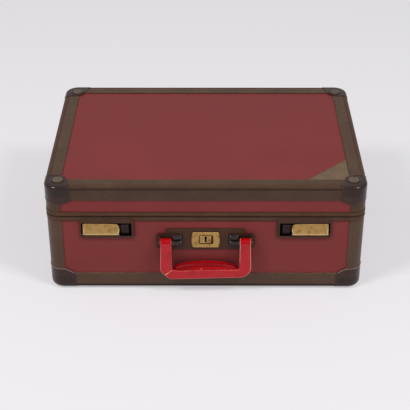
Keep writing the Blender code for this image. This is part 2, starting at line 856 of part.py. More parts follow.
def make_latch(side_name, side):
    """One latch: its frame with a tray let into the wall, its pin, hasp and sliding button."""
    frame_y = front - latch_proud
    xs = sides(side, latch_x - latch_width / 2, latch_x + latch_width / 2)
    outline = rounded_rectangle((min(xs), latch_low), (max(xs), latch_high), latch_corner_radius, edge_steps)
    flange_back = frame_y + latch_sheet
    name = "latch_frame_" + side_name
    frame = add_part(name, prism(name, outline, "Y", (frame_y, flange_back)), aubergine)
    bevel(frame, latch_sheet * latch_edge_share, 1)
    inner = rounded_rectangle((min(xs), latch_low), (max(xs), base_rim_low - seat_gap),
                              latch_corner_radius, edge_steps)
    join(frame, prism("backing", inner, "Y", (flange_back - seat_gap, panel_front - seat_gap)))
    tray_xs = sides(side, recess_x - tray_half_width, recess_x + tray_half_width)
    join(frame, box("tray", tray_xs, (flange_back - seat_gap, tray_back), (tray_low, tray_high)))
    low, high = recess_low, recess_high
    recess_xs = sides(side, recess_inner, recess_outer)
    recess = rounded_rectangle((min(recess_xs), low), (max(recess_xs), high), latch_recess_radius, edge_steps)
    cut(frame, prism("recess", recess, "Y", (frame_y - overrun, front + latch_recess_depth)))
    reach = striker_width / 2 + striker_slot_margin
    cut(frame, box("striker_way", sides(side, hasp_x - reach, hasp_x + reach),
                   (front + striker_inset - striker_slot_margin, front + latch_recess_depth),
                   (high - overrun, tray_high + overrun)))
    barrel_inner = hasp_inner + hasp_bulge / 2
    lug_xs = sides(side, barrel_inner - seat_gap - lug_sheet, barrel_inner - seat_gap)
    join(frame, box("lug", lug_xs, (hasp_axis_y - barrel_radius, front + latch_recess_depth + tray_wall / 2),
                    (low - tray_wall / 2, hasp_axis_z + barrel_radius)))
    hole_xs = sides(side, barrel_inner - overrun, recess_outer + tray_wall - seat_gap)
    cut(frame, rod("pin_hole", hasp_pin_radius + pin_clearance, (hasp_axis_y, hasp_axis_z), hole_xs, small_steps))
    pin_xs = sides(side, barrel_inner - seat_gap - lug_sheet, recess_outer + tray_wall / 2)
    name = "hasp_pin_" + side_name
    pin = add_part(name, rod(name, hasp_pin_radius, (hasp_axis_y, hasp_axis_z), pin_xs, small_steps), steel)
    smooth(pin)
    hasp = make_hasp(side_name, side)
    slider = make_slider(side_name, side)
    return hasp, slider


def make_hasp(side_name, side):
    """A brass flap, rounded at its inner end, with a rolled lower edge and a hook on its back."""
    plate_y = hasp_axis_y - barrel_radius
    low, high = hasp_axis_z, hasp_low + hasp_height
    corner = hasp_corner_radius
    outline = arc((hasp_outer - corner, high - corner), corner, 0, 1, edge_steps)
    bulge = hasp_bulge
    radius = ((hasp_height / 2) ** 2 + bulge ** 2) / (2 * bulge)
    middle = hasp_low + hasp_height / 2
    half_turn = math.asin((hasp_height / 2 - corner / 2) / radius) / (math.pi / 2)
    inner_arc = arc((hasp_inner + radius, middle), radius, 2 - half_turn, 2, edge_steps)
    inner_arc += arc((hasp_inner + radius, middle), radius, 2, 2 + half_turn, edge_steps)[1:]
    outline += [(x, z) for x, z in inner_arc if z > low]
    outline += [(hasp_inner + bulge / 2, low), (hasp_outer, low)]
    outline = [(side * x, z) for x, z in outline]
    name = "hasp_" + side_name
    hasp = add_part(name, prism(name, outline, "Y", (plate_y, plate_y + hasp_sheet)), brass)
    bevel(hasp, hasp_rim_depth, 1)
    barrel_xs = sides(side, hasp_inner + bulge / 2, hasp_outer)
    join(hasp, rod("barrel", barrel_radius, (hasp_axis_y, hasp_axis_z), barrel_xs, small_steps))
    rim = hasp_rim_width
    field_xs = sides(side, hasp_inner + bulge + rim, hasp_outer - rim)
    field = rounded_rectangle((min(field_xs), low + rim), (max(field_xs), high - rim), rim, edge_steps)
    cut(hasp, prism("field", field, "Y", (plate_y - overrun, plate_y + hasp_rim_depth)))
    hook_xs = sides(side, hasp_x - hook_width / 2, hasp_x + hook_width / 2)
    hook_low = hasp_axis_z + hook_rise
    join(hasp, box("hook", hook_xs, (plate_y + hasp_sheet / 2, hasp_axis_y + hook_depth),
                   (hook_low, hook_low + hook_height)))
    cut(hasp, rod("bore", hasp_pin_radius + pin_clearance, (hasp_axis_y, hasp_axis_z),
                  sides(side, hasp_inner - overrun, hasp_outer + overrun), small_steps))
    return hasp


def make_slider(side_name, side):
    """The release button with its foot plate and the finger that reaches behind the hasp."""
    outer = recess_inner + slot_width + button_width
    xs = sides(side, outer - button_width, outer)
    high = recess_high - button_drop
    foot_back = front + latch_recess_depth - seat_gap
    foot_front = foot_back - foot_plate_sheet
    name = "slider_" + side_name
    slider = add_part(name, box(name, xs, (front - latch_proud - button_proud, foot_front + seat_gap),
                                (high - button_height, high)), aubergine)
    bevel(slider, button_edge, 1)
    join(slider, box("foot", xs, (foot_front, foot_back),
                     (recess_low + foot_plate_gap, recess_high - foot_plate_gap)))
    join(slider, box("finger", sides(side, outer - finger_length, outer + finger_length),
                     (hasp_axis_y + seat_gap, foot_front), (high - button_height / 2, high - button_drop)))
    return slider


def make_striker(side_name, side):
    """The catch plate that hangs from the lid into the latch, with the window its hook comes up to."""
    half = striker_width / 2
    low = split - striker_drop
    outline = rounded_rectangle((side * hasp_x - half, low),
                                (side * hasp_x + half, lid_wall_low + striker_rise - seat_gap),
                                striker_bar / 2, edge_steps)
    half = striker_window_width / 2
    window = rounded_rectangle((side * hasp_x - half, low + striker_bar),
                               (side * hasp_x + half, low + striker_bar + striker_window_height),
                               striker_bar / 4, edge_steps)
    name = "striker_" + side_name
    span = (front + striker_inset, front + striker_inset + striker_sheet)
    return add_part(name, prism(name, outline, "Y", span, holes=(window,)), steel)


def make_lock():
    """Backing plate, brass lock plate, sliding keyhole plate with its bolt, and the case inside."""
    plate_back = panel_front - seat_gap
    plate_face = plate_back - plate_sheet
    high = split - plate_below_split
    outline = rounded_rectangle((-plate_width / 2, high - plate_height), (plate_width / 2, high),
                                plate_radius, edge_steps)
    hole = rounded_rectangle((wall_hole_left, wall_hole_low), (wall_hole_right, wall_hole_high),
                             window_radius / 4, edge_steps)
    add_part("lock_backing_plate",
             prism("backing", outline, "Y", (plate_face, plate_back), holes=(hole,)), aubergine)
    lock_back = plate_face - seat_gap
    lock_face = lock_back - lock_thickness
    window_x = (window_side - window_width / 2, window_side + window_width / 2)
    window_z = (lock_z + window_rise - window_height / 2, lock_z + window_rise + window_height / 2)
    window = rounded_rectangle((window_x[0], window_z[0]), (window_x[1], window_z[1]),
                               window_radius / 2, edge_steps)
    plate = add_part("lock_plate",
                     prism("lock_plate", lock_outline(), "Y", (lock_face, lock_back), holes=(window,)), brass)
    bevel(plate, lock_thickness * lock_edge_share, 1)
    slide_left = window_x[0] + slide_side
    slide_right = slide_left + slide_width
    slide_z = (window_z[0] + slide_clearance, window_z[1] - slide_clearance)
    face = plate_face - seat_gap - slide_thickness
    outline = rounded_rectangle((slide_left, slide_z[0]), (slide_right, slide_z[1]),
                                window_radius / 3, edge_steps)
    slide = add_part("lock_slide",
                     prism("lock_slide", outline, "Y", (face, face + slide_thickness),
                           holes=(keyhole_outline(),)), brass)
    rib_x = (slide_right - grip_rib_width, slide_right - seat_gap)
    join(slide, box("rib", rib_x, (face - grip_rib_proud, face + slide_thickness / 2),
                    (slide_z[0] + slide_clearance, slide_z[1] - slide_clearance)))
    join(slide, box("tail", (slide_right - slide_thickness, window_x[1] - seat_gap),
                    (plate_face, plate_face + slide_tail_sheet),
                    (slide_z[0] + seat_gap, slide_z[1] - seat_gap)))
    stem_y = front + wall_inset + stem_beyond
    middle = (slide_z[0] + slide_z[1]) / 2
    stem_z = (middle - stem_height / 2, middle + stem_height / 2)
    join(slide, box("stem", (slide_right - stem_width, slide_right - seat_gap),
                    (face + slide_thickness / 2, stem_y), stem_z))
    bolt_y = (stem_y + seat_gap, stem_y + seat_gap + bolt_sheet)
    bolt_x = (slide_right - bolt_bar_width, slide_right)
    nose_z = (staple_low + staple_bar + seat_gap, staple_low + staple_bar + seat_gap + bolt_nose_height)
    nose_y = (staple_y + staple_bar + seat_gap, staple_y + staple_depth - staple_bar - seat_gap)
    nose_x = staple_sheet / 2 + bolt_nose_gap
    plan = [(bolt_x[0], bolt_y[0] + seat_gap / 2), (bolt_x[1], bolt_y[0] + seat_gap / 2),
            (bolt_x[1], nose_y[1]), (nose_x, nose_y[1]), (nose_x, nose_y[0]), (bolt_x[0], nose_y[0])]
    bolt = add_part("lock_bolt", prism("lock_bolt", plan, "Z", nose_z), steel)
    join(bolt, box("bar", (bolt_x[0] + seat_gap / 2, bolt_x[1] - seat_gap / 2), bolt_y,
                   (stem_z[0], nose_z[1] - seat_gap / 2)))
    make_lock_case()
    return slide, bolt


def lock_outline():
    """Outline of the lock plate: straight above and below, slightly bulging at both ends."""
    half_x = lock_width / 2 - lock_bulge
    half_z = lock_height / 2
    reach = half_z - lock_radius
    radius = (reach ** 2 + lock_bulge ** 2) / (2 * lock_bulge)
    swing = math.asin(reach / radius) / (math.pi / 2)
    right = arc((half_x + lock_bulge - radius, lock_z), radius, -swing, swing, edge_steps * 2)
    left = arc((radius - lock_bulge - half_x, lock_z), radius, 2 - swing, 2 + swing, edge_steps * 2)
    corner = lock_radius
    top_right = (half_x - corner, lock_z + half_z)
    top_left = (corner - half_x, lock_z + half_z)
    bottom_left = (corner - half_x, lock_z - half_z)
    bottom_right = (half_x - corner, lock_z - half_z)
    return right + [top_right, top_left] + left + [bottom_left, bottom_right]


def keyhole_outline():
    """A round keyhole with a straight slot below it."""
    centre = (keyhole_side, lock_z + window_rise + keyhole_length / 2 - keyhole_radius)
    half = keyhole_slot / 2
    swing = math.asin(half / keyhole_radius) / (math.pi / 2)
    head = arc(centre, keyhole_radius, -1 + swing, 3 - swing, small_steps)
    low = centre[1] + keyhole_radius - keyhole_length
    return head + [(centre[0] - half, low), (centre[0] + half, low)]


def make_lock_case():
    """The open-fronted steel case on the inside of the front wall, with a way in for the staple."""
    half = lock_case_width / 2
    ys = (front + wall_inset + seat_gap, front + wall_inset + seat_gap + lock_case_depth)
    wall = lock_case_wall
    zs = (lock_case_low, lock_case_low + lock_case_height)
    outline = rounded_rectangle((-half, zs[0]), (half, zs[1]), wall * 2, edge_steps)
    case = add_part("lock_case", prism("lock_case", outline, "Y", ys), steel)
    cut(case, box("hollow", (wall - half, half - wall), (ys[0] - overrun, ys[1] - wall),
                  (zs[0] + wall, zs[1] - wall)))
    reach = staple_width / 2 + striker_slot_margin
    cut(case, box("staple_way", (-reach, reach), (ys[0] - overrun, ys[1] - wall),
                  (zs[1] - wall - overrun, zs[1] + overrun)))


def make_staple():
    """The lid's lock staple: a flange on the lining and a tongue that hangs down behind the rim's."""
    seat = front + lining_inset + lining_thickness + seat_gap
    deep = staple_y + staple_depth
    step = tongue_high + seat_gap * 6
    high = split + staple_rise
    profile = [(seat + staple_sheet / 2, high - staple_depth), (deep, step + staple_depth),
               (deep, staple_low), (staple_y, staple_low), (staple_y, step), (seat + staple_sheet / 2, step)]
    window = rounded_rectangle((staple_y + staple_bar, staple_low + staple_bar),
                               (deep - staple_bar, staple_low + staple_bar + bolt_nose_height + seat_gap * 2),
                               seat_gap, 2)
    half = staple_sheet / 2
    staple = add_part("lock_staple", prism("lock_staple", profile, "X", (-half, half), holes=(window,)), steel)
    half = staple_width / 2
    join(staple, box("flange", (-half, half), (seat, seat + staple_sheet), (step, high)))
    return staple


def make_bracket(side_name, side):
    """A handle bracket: flange, two round ribs with domed ends, and two ears that hold the pin."""
    face = front - bracket_stand
    back = face + bracket_sheet
    low, high = pin_z - bracket_below_pin, pin_z + bracket_above_pin
    xs = sides(side, bracket_inner, bracket_outer)
    outline = rounded_rectangle((min(xs), low), (max(xs), high), bracket_radius, edge_steps)
    name = "handle_bracket_" + side_name
    bracket = add_part(name, prism(name, outline, "Y", (face, back)), aubergine)
    outer = rounded_rectangle((min(sides(side, plate_width / 2 + seat_gap, bracket_outer)), low),
                              (max(sides(side, plate_width / 2 + seat_gap, bracket_outer)), high),
                              bracket_radius, edge_steps)
    join(bracket, prism("pad", outer, "Y", (back - seat_gap, panel_front - seat_gap)))
    for direction in (-1, 1):
        join(bracket, rib_mesh(side, pin_z + direction * rib_spacing / 2, face))
    for inner in (ear_inner, ear_outer):
        ear = arc((pin_y, pin_z), ear_radius, 1, 3, small_steps)
        ear += [(face + bracket_sheet / 2, pin_z - ear_radius), (face + bracket_sheet / 2, pin_z + ear_radius)]
        join(bracket, prism("ear", ear, "X", sides(side, inner, inner + ear_width)))
    bore_xs = sides(side, ear_inner - seat_gap, ear_outer + ear_width + overrun)
    cut(bracket, rod("bore", handle_pin_radius + pin_clearance, (pin_y, pin_z), bore_xs))
    pin_xs = sides(side, ear_inner, ear_outer + ear_width)
    name = "handle_pin_" + side_name
    smooth(add_part(name, rod(name, handle_pin_radius, (pin_y, pin_z), pin_xs), steel))


def rib_mesh(side, height, face):
    """A half-round rib along X that ends in a dome at its inner end."""
    xs = sides(side, rib_inner, ear_inner + ear_width / 2)
    rib = add_cutter("rib", rod("rib", rib_radius, (face, height), xs, small_steps))
    end = dome("rib_end", (side * rib_inner, face, height), rib_radius, rib_radius, "X")
    join(rib, end)
    back = face + bracket_sheet / 2
    keep(rib, box("front_half", sides(side, 0, bracket_outer), (face - overrun, back),
                  (height - overrun, height + overrun)))
    mesh = evaluated_mesh(rib)
    bpy.data.objects.remove(rib)
    return mesh


def handle_outline():
    """Front view of the strap frame: outer edge round the bottom corners, arched inner edge."""
    half = handle_width / 2
    low = pin_z - handle_drop
    inner = half - arm_width
    corner = handle_corner_radius
    outer_left = arc((corner - half, low + corner), corner, 2, 3, corner_steps)
    outer_right = arc((half - corner, low + corner), corner, 3, 4, corner_steps)
    bar_end = low + bar_height - bar_arch
    radius = (inner ** 2 + bar_arch ** 2) / (2 * bar_arch)
    swing = math.asin((inner - handle_inner_radius) / radius) / (math.pi / 2)
    crest = arc((0, bar_end + bar_arch - radius), radius, 1 - swing, 1 + swing, corner_steps)
    edge_low = crest[0][1] + handle_inner_radius
    right_side = [(half, pin_z), (inner, pin_z), (inner, edge_low)]
    left_side = [(-inner, edge_low), (-inner, pin_z), (-half, pin_z)]
    return outer_left + outer_right + right_side + crest + left_side


def make_handle():
    """The leather handle: a strap frame with a loop round each pin, and the padded grip behind its bar."""
    strap_front = pin_y - strap_offset - strap_thickness / 2
    strap_back = strap_front + strap_thickness
    strap = add_part("handle_strap",
                     prism("handle_strap", handle_outline(), "Y", (strap_front, strap_back)), red_leather)
    bevel(strap, strap_rounding, 1)
    half = handle_width / 2
    for side in (-1, 1):
        xs = sides(side, half - arm_width + loop_side_gap, half - loop_side_gap)
        join(strap, rod("loop", loop_radius, (pin_y, pin_z), xs))
    reach = half + overrun
    cut(strap, rod("bore", handle_pin_radius + pin_clearance, (pin_y, pin_z), (-reach, reach)))
    grip = add_part("handle_grip", grip_mesh(), red_leather)
    clear = seat_gap
    bar_top = pin_z - handle_drop + bar_height + clear
    cut(grip, box("strap_room", (-reach, reach), (strap_front - overrun * 2, strap_back + clear),
                  (pin_z - handle_drop - overrun, bar_top)))
    smooth(grip)
    return strap, grip


def grip_mesh():
    """The padded roll: ellipses along the bar, full in the middle and smaller at both ends."""
    stations = [-grip_half_length * share for share in grip_station_shares]
    stations += [grip_half_length * share for share in grip_station_shares[-2::-1]]
    centre_y = front - grip_back - grip_half_depth
    low = pin_z - handle_drop
    bm = bmesh.new()
    rings = []
    for x in stations:
        share = grip_end_share + (1 - grip_end_share) * math.sqrt(1 - (x / grip_half_length) ** 2)
        middle = low + grip_rise + grip_arch * share
        verts = []
        for a, b in arc((0, 0), 1.0, 0, 4, round_steps)[:-1]:
            y = centre_y + a * grip_half_depth * (0.5 + share / 2)
            verts.append(bm.verts.new((x, y, middle + b * grip_half_height * share)))
        rings.append(verts)
    loft_faces(bm, rings)
    return mesh_from(bm, "handle_grip")


def make_patch():
    """The thin leather triangle over the front right corner of the lid's panel."""
    corner = (half_width - flat_band_width - seat_gap, front + flat_band_width + seat_gap)
    radius = window_radius
    outline = arc((corner[0] - radius, corner[1] + radius), radius, 3, 4, edge_steps)
    outline += [(corner[0], corner[1] + patch_depth), (corner[0] - patch_width, corner[1])]
    low = top - binding_proud + seat_gap
    return add_part("corner_patch", prism("corner_patch", outline, "Z", (low, low + patch_thickness)),
                    beige_leather)


clear_scene()
parts = new_collection("suitcase")
cutters = new_collection("cutters")

base_shell, lid_shell = make_shells()
base_lining, lid_lining = make_linings()
bindings = make_bindings()
base_rim, lid_rim = make_rims()
lid_corners = make_corners()
lid_hinge_leaves = make_hinges()
strikers = [make_striker("left", -1), make_striker("right", 1)]
staple = make_staple()
patch = make_patch()
lid_axis = axis_empty("lid_axis", (0, rear + hinge_out, split))
carry(lid_axis, lid_shell, lid_lining, *bindings["lid"], lid_rim, *lid_corners, *lid_hinge_leaves,
      *strikers, staple, patch)

for side_label, side_sign in (("left", -1), ("right", 1)):
    hasp_piece, slider_piece = make_latch(side_label, side_sign)
    carry(axis_empty("hasp_axis_" + side_label, (side_sign * hasp_x, hasp_axis_y, hasp_axis_z)), hasp_piece)
    slider_place = (side_sign * (recess_inner + slot_width), front, recess_high - button_height)
    carry(axis_empty("slider_axis_" + side_label, slider_place), slider_piece)
    make_bracket(side_label, side_sign)

carry(axis_empty("lock_slide_axis", (0, front, lock_z)), *make_lock())
carry(axis_empty("handle_axis", (0, pin_y, pin_z)), *make_handle())
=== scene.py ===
"""A small hard-sided suitcase of covered board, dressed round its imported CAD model.

Lengths are in millimetres until a mesh is made. +X is to the right, the front is towards -Y and +Z is up.
"""

import json
import math

import bmesh
import bpy
import numpy as np
from mathutils import Matrix, Vector

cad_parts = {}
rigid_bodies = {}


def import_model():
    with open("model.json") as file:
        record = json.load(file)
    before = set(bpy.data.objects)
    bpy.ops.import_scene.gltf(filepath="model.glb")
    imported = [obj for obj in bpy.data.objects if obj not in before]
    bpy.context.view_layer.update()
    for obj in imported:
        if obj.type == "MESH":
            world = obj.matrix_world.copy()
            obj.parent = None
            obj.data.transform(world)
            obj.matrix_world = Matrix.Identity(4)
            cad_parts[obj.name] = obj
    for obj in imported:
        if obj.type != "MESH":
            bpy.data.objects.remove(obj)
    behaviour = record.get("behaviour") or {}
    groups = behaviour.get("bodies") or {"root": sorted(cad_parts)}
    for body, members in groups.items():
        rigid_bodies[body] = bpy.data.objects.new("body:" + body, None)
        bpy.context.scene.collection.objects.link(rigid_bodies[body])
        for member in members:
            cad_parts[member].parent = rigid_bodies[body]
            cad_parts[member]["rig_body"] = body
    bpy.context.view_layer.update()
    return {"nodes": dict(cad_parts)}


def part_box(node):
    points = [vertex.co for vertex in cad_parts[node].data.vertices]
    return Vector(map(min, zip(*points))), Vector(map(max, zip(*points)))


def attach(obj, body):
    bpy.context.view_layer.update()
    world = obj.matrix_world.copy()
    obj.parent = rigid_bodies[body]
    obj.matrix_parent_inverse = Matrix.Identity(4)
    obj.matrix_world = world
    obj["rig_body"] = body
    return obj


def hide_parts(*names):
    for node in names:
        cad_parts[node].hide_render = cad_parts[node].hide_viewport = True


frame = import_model()

MM = 0.001
rng = np.random.default_rng(7)


def corners_of(node):
    """Lowest and highest corner of a CAD node, in millimetres."""
    low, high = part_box(node)
    return np.array(low) / MM, np.array(high) / MM


# Case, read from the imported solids
binding_low, binding_high = corners_of("base_side_binding")
HALF_X = binding_high[0]
FRONT, REAR = binding_low[1], binding_high[1]
HALF_Y = (REAR - FRONT) / 2
CASE_Y = (REAR + FRONT) / 2
TOP = corners_of("lid_top_binding")[1][2]
LOW = corners_of("base_bottom_binding")[0][2]
SPLIT = corners_of("lid_rim")[0][2] - 0.3
CORNER = 20.0
PANEL_IN = 23.5
BEAD_IN = 6.6
EDGE_ROUNDS = {"lid": 4.0, "base": 5.6}
POST = 23.0
SKIN = 0.9
BANDS = {"lid": 21.6, "base": 26.0}
RIMS = {"lid": (SPLIT + 0.3, SPLIT + 7.3), "base": (SPLIT - 7.3, SPLIT - 0.3)}


# Meshes

def patch(points, wrap_rows=False, wrap_columns=False, close_first=False, close_last=False, wear_and_painted_light=0.0):
    """A grid of points as (vertices, faces, marks of use and painted light): quads between neighbours. A
    wrapped direction joins its ends, and a closed first or last row gets one flat face."""
    rows, columns = points.shape[:2]
    across = np.arange(rows if wrap_rows else rows - 1)
    along = np.arange(columns if wrap_columns else columns - 1)
    i, j = (grid.ravel() for grid in np.meshgrid(across, along, indexing="ij"))
    i2, j2 = (i + 1) % rows, (j + 1) % columns
    corners = (i * columns + j, i2 * columns + j, i2 * columns + j2, i * columns + j2)
    faces = np.stack(corners, axis=1).tolist()
    if close_first:
        faces.append(list(range(columns))[::-1])
    if close_last:
        faces.append(list(range((rows - 1) * columns, rows * columns)))
    wear_and_light_marks = np.broadcast_to(np.asarray(wear_and_painted_light, float), (rows, columns))
    return points.reshape(-1, 3), faces, wear_and_light_marks.ravel()


def placed(name, data):
    """A new object in the scene."""
    thing = bpy.data.objects.new(name, data)
    bpy.context.scene.collection.objects.link(thing)
    return thing


def shown(name, mesh, body, finish, nodes=()):
    """Put a mesh in the scene with its finish, the body that it rides on and the nodes that it
    stands for."""
    piece = placed(name, mesh)
    mesh.materials.clear()
    mesh.materials.append(finish)
    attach(piece, body)
    if nodes:
        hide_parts(*nodes)
    return piece


def turned_outwards(bm, inside=None):
    """Merge what coincides and point every face outwards. An open surface faces away from inside."""
    bmesh.ops.remove_doubles(bm, verts=bm.verts, dist=2e-6)
    bmesh.ops.dissolve_degenerate(bm, edges=bm.edges, dist=1e-6)
    bm.normal_update()
    bmesh.ops.recalc_face_normals(bm, faces=bm.faces)
    if inside is None:
        facing = bm.calc_volume(signed=True)
    else:
        centre = Vector(inside) * MM
        facing = sum(f.normal.dot(f.calc_center_median() - centre) * f.calc_area() for f in bm.faces)
    if facing < 0:
        bmesh.ops.reverse_faces(bm, faces=bm.faces)


def build(name, patches, body, finish, nodes=(), inside=None, wall=0.0, edge=0.0, sharp=None):
    """One piece from one or more grids. wall gives an open surface its thickness, inwards, and edge rounds
    what stays sharp."""
    verts = np.concatenate([p[0] for p in patches]) * MM
    wear_and_light_marks = np.concatenate([p[2] for p in patches])
    faces, start = [], 0
    for points, quads, _ in patches:
        faces += [[start + index for index in face] for face in quads]
        start += len(points)
    mesh = bpy.data.meshes.new(name)
    mesh.from_pydata(verts.tolist(), [], faces)
    layer = mesh.attributes.new("wear_and_painted_light", "FLOAT", "POINT")
    layer.data.foreach_set("value", wear_and_light_marks.astype(np.float32))
    bm = bmesh.new()
    bm.from_mesh(mesh)
    turned_outwards(bm, inside)
    bm.to_mesh(mesh)
    bm.free()
    mesh.shade_smooth()
    if sharp is not None:
        mesh.set_sharp_from_angle(angle=math.radians(sharp))
    piece = shown(name, mesh, body, finish, nodes)
    if wall:
        solid = piece.modifiers.new("wall", "SOLIDIFY")
        solid.thickness = wall * MM
        solid.offset = -1
    if edge:
        rounded(piece, edge)
    return piece


def rounded(piece, width, segments=2):
    """Round a piece's sharp edges."""
    bevel = piece.modifiers.new("edge", "BEVEL")
    bevel.width = width * MM
    bevel.segments = segments
    bevel.limit_method = "ANGLE"
    bevel.angle_limit = math.radians(40)
    bevel.harden_normals = False
    return piece


def repainted(piece, finish, chosen):
    """Give a further finish to the faces that are chosen by their centres, in millimetres, and by their
    normals."""
    mesh = piece.data
    centres = np.empty(3 * len(mesh.polygons))
    normals = np.empty(3 * len(mesh.polygons))
    mesh.polygons.foreach_get("center", centres)
    mesh.polygons.foreach_get("normal", normals)
    mesh.materials.append(finish)
    index = np.empty(len(mesh.polygons), np.int32)
    mesh.polygons.foreach_get("material_index", index)
    mask = chosen(centres.reshape(-1, 3) / MM, normals.reshape(-1, 3))
    mesh.polygons.foreach_set("material_index", np.where(mask, len(mesh.materials) - 1, index))
    return piece


def reshaped(piece, move):
    """Move a new piece's points, given and returned in millimetres."""
    at = np.empty(3 * len(piece.data.vertices))
    piece.data.vertices.foreach_get("co", at)
    piece.data.vertices.foreach_set("co", (move(at.reshape(-1, 3) / MM) * MM).ravel())
    piece.data.update()
    return piece


def dressed(node, finish, edge=0.0, sharp=38):
    """A CAD node's own shape, merged and smoothed, with its edges rounded."""
    source = frame["nodes"][node]
    mesh = source.data.copy()
    mesh.name = node + "_dressed"
    bm = bmesh.new()
    bm.from_mesh(mesh)
    bmesh.ops.remove_doubles(bm, verts=bm.verts, dist=2e-6)
    bmesh.ops.dissolve_limit(bm, angle_limit=math.radians(0.5), verts=bm.verts, edges=bm.edges)
    bm.to_mesh(mesh)
    bm.free()
    mesh.shade_smooth()
    mesh.set_sharp_from_angle(angle=math.radians(sharp))
    piece = shown(node + "_dressed", mesh, source["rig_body"], finish, (node,))
    if edge:
        rounded(piece, edge)
    return piece


# Outlines and sweeps

SIDE_X = HALF_X - CORNER
SIDE_Y = HALF_Y - CORNER
QUARTER = math.pi / 2 * CORNER
RUNS = np.cumsum([0, SIDE_X, QUARTER, 2 * SIDE_Y, QUARTER, 2 * SIDE_X, QUARTER, 2 * SIDE_Y, QUARTER, SIDE_X])
ROUND = RUNS[-1]
STARTS = np.array([(0, -HALF_Y), (SIDE_X, -SIDE_Y), (HALF_X, -SIDE_Y), (SIDE_X, SIDE_Y), (SIDE_X, HALF_Y),
                   (-SIDE_X, SIDE_Y), (-HALF_X, SIDE_Y), (-SIDE_X, -SIDE_Y), (-SIDE_X, -HALF_Y)])


def case_path(s):
    """Point and outward normal on the case's outline seen from above, at a distance s along it from the
    middle of the front towards the right: four straights joined by quarter circles."""
    s = np.mod(s, ROUND)
    run = np.clip(np.searchsorted(RUNS, s, side="right") - 1, 0, 8)
    t = s - RUNS[run]
    bend = run % 2 == 1
    angle = (run // 2 - 1) * math.pi / 2 + np.where(bend, t / CORNER, 0)
    normal = np.stack([np.cos(angle), np.sin(angle)], axis=-1)
    forward = np.stack([-np.sin(angle), np.cos(angle)], axis=-1)
    along = STARTS[run] + np.where(bend[..., None], CORNER * normal, t[..., None] * forward)
    return along + (0, CASE_Y), normal


def swept(s, profile, wave=None):
    """Carry a profile of (inset, height) points along the case's outline: point = path - inset * normal.
    wave adds a height at each place along the path."""
    point, normal = case_path(np.asarray(s, float))
    inset, height = profile[:, 0], profile[:, 1]
    flat = point[:, None, :] - inset[None, :, None] * normal[:, None, :]
    z = np.broadcast_to(height, flat.shape[:2]).copy()
    if wave is not None:
        z += wave
    return np.concatenate([flat, z[..., None]], axis=-1)


def arc(centre, radius, start, end, steps):
    """Points on a circle from one angle to another, in degrees."""
    angle = np.radians(np.linspace(start, end, steps + 1))
    return np.stack([centre[0] + radius * np.cos(angle), centre[1] + radius * np.sin(angle)], axis=-1)


def rounded_box_profile(x0, x1, z0, z1, radius, steps=3, middle=6):
    """Closed profile of a rectangle with round corners; long sides get extra points."""
    corners = [((x1 - radius, z1 - radius), 0), ((x0 + radius, z1 - radius), 90),
               ((x0 + radius, z0 + radius), 180), ((x1 - radius, z0 + radius), 270)]
    points = []
    for (centre, start), (after, _) in zip(corners, corners[1:] + corners[:1]):
        bend = arc(centre, radius, start, start + 90, steps)
        points.append(bend)
        last = bend[-1]
        step_on = np.array(after) + radius * np.array(
            [math.cos(math.radians(start + 90)), math.sin(math.radians(start + 90))])
        share = np.linspace(0, 1, middle + 2)[1:-1, None]
        points.append(last + (step_on - last) * share)
    return np.concatenate(points)


def oblong(half_w, half_h, radius, left=0.0, right=0.0, steps=6, middle=8):
    """Outline of a rectangle with round corners, whose ends bulge by left and right in a parabola."""
    points = rounded_box_profile(-half_w, half_w, -half_h, half_h, radius, steps, middle)
    swell = 1 - (points[:, 1] / half_h) ** 2
    out = np.where(points[:, 0] > 0, right, -left) * swell
    reach = np.clip((np.abs(points[:, 0]) - half_w + 2 * radius + 3) / (2 * radius + 3), 0, 1)
    return points + np.stack([out * reach, np.zeros(len(points))], axis=-1)


def nested(centre, rings, plane="XZ"):
    """Loft through outlines laid one after another: each ring is (outline, depth, drop), centred on centre.
    In plane XZ depth is y, and in plane XY it is z."""
    layers = []
    for outline, depth, *rest in rings:
        drop = rest[0] if rest else 0.0
        a, b = outline[:, 0] + centre[0], outline[:, 1] + centre[1] + drop
        d = np.full(len(outline), depth, float)
        layers.append(np.stack([a, d, b] if plane == "XZ" else [a, b, d], axis=-1))
    return np.stack(layers)


def turned(profile, centre, steps=40, axis=2):
    """Turn a profile of (radius, height) about an axis through centre."""
    angle = np.linspace(0, 2 * math.pi, steps, endpoint=False)
    radius, height = profile[:, 0, None], profile[:, 1, None]
    a, b = radius * np.cos(angle), radius * np.sin(angle)
    c = np.broadcast_to(height, a.shape)
    order = {2: (a, b, c), 1: (a, c, b), 0: (c, a, b)}[axis]
    return np.stack(order, axis=-1) + np.array(centre)


def mirrored(points, flip_x=False, flip_y=False, flip_z=False):
    """Mirror points in the middle planes of the case."""
    out = points.copy()
    if flip_x:
        out[..., 0] *= -1
    if flip_y:
        out[..., 1] = 2 * CASE_Y - out[..., 1]
    if flip_z:
        out[..., 2] = LOW + TOP - out[..., 2]
    return out


# Materials

def linear(code):
    """A linear colour from an sRGB hex code."""
    values = np.array([int(code[i:i + 2], 16) for i in (1, 3, 5)]) / 255
    bright = np.where(values <= 0.04045, values / 12.92, ((values + 0.055) / 1.055) ** 2.4)
    return (*bright, 1.0)


def add(tree, kind, settings=None, links=None):
    """Add a node with its settings and links. A setting is a property or an input, a link is to an output."""
    node = tree.nodes.new(kind)
    for key, value in (settings or {}).items():
        if isinstance(key, str) and hasattr(node, key):
            setattr(node, key, value)
        else:
            node.inputs[key].default_value = value
    for key, source in (links or {}).items():
        tree.links.new(source, node.inputs[key])
    return node


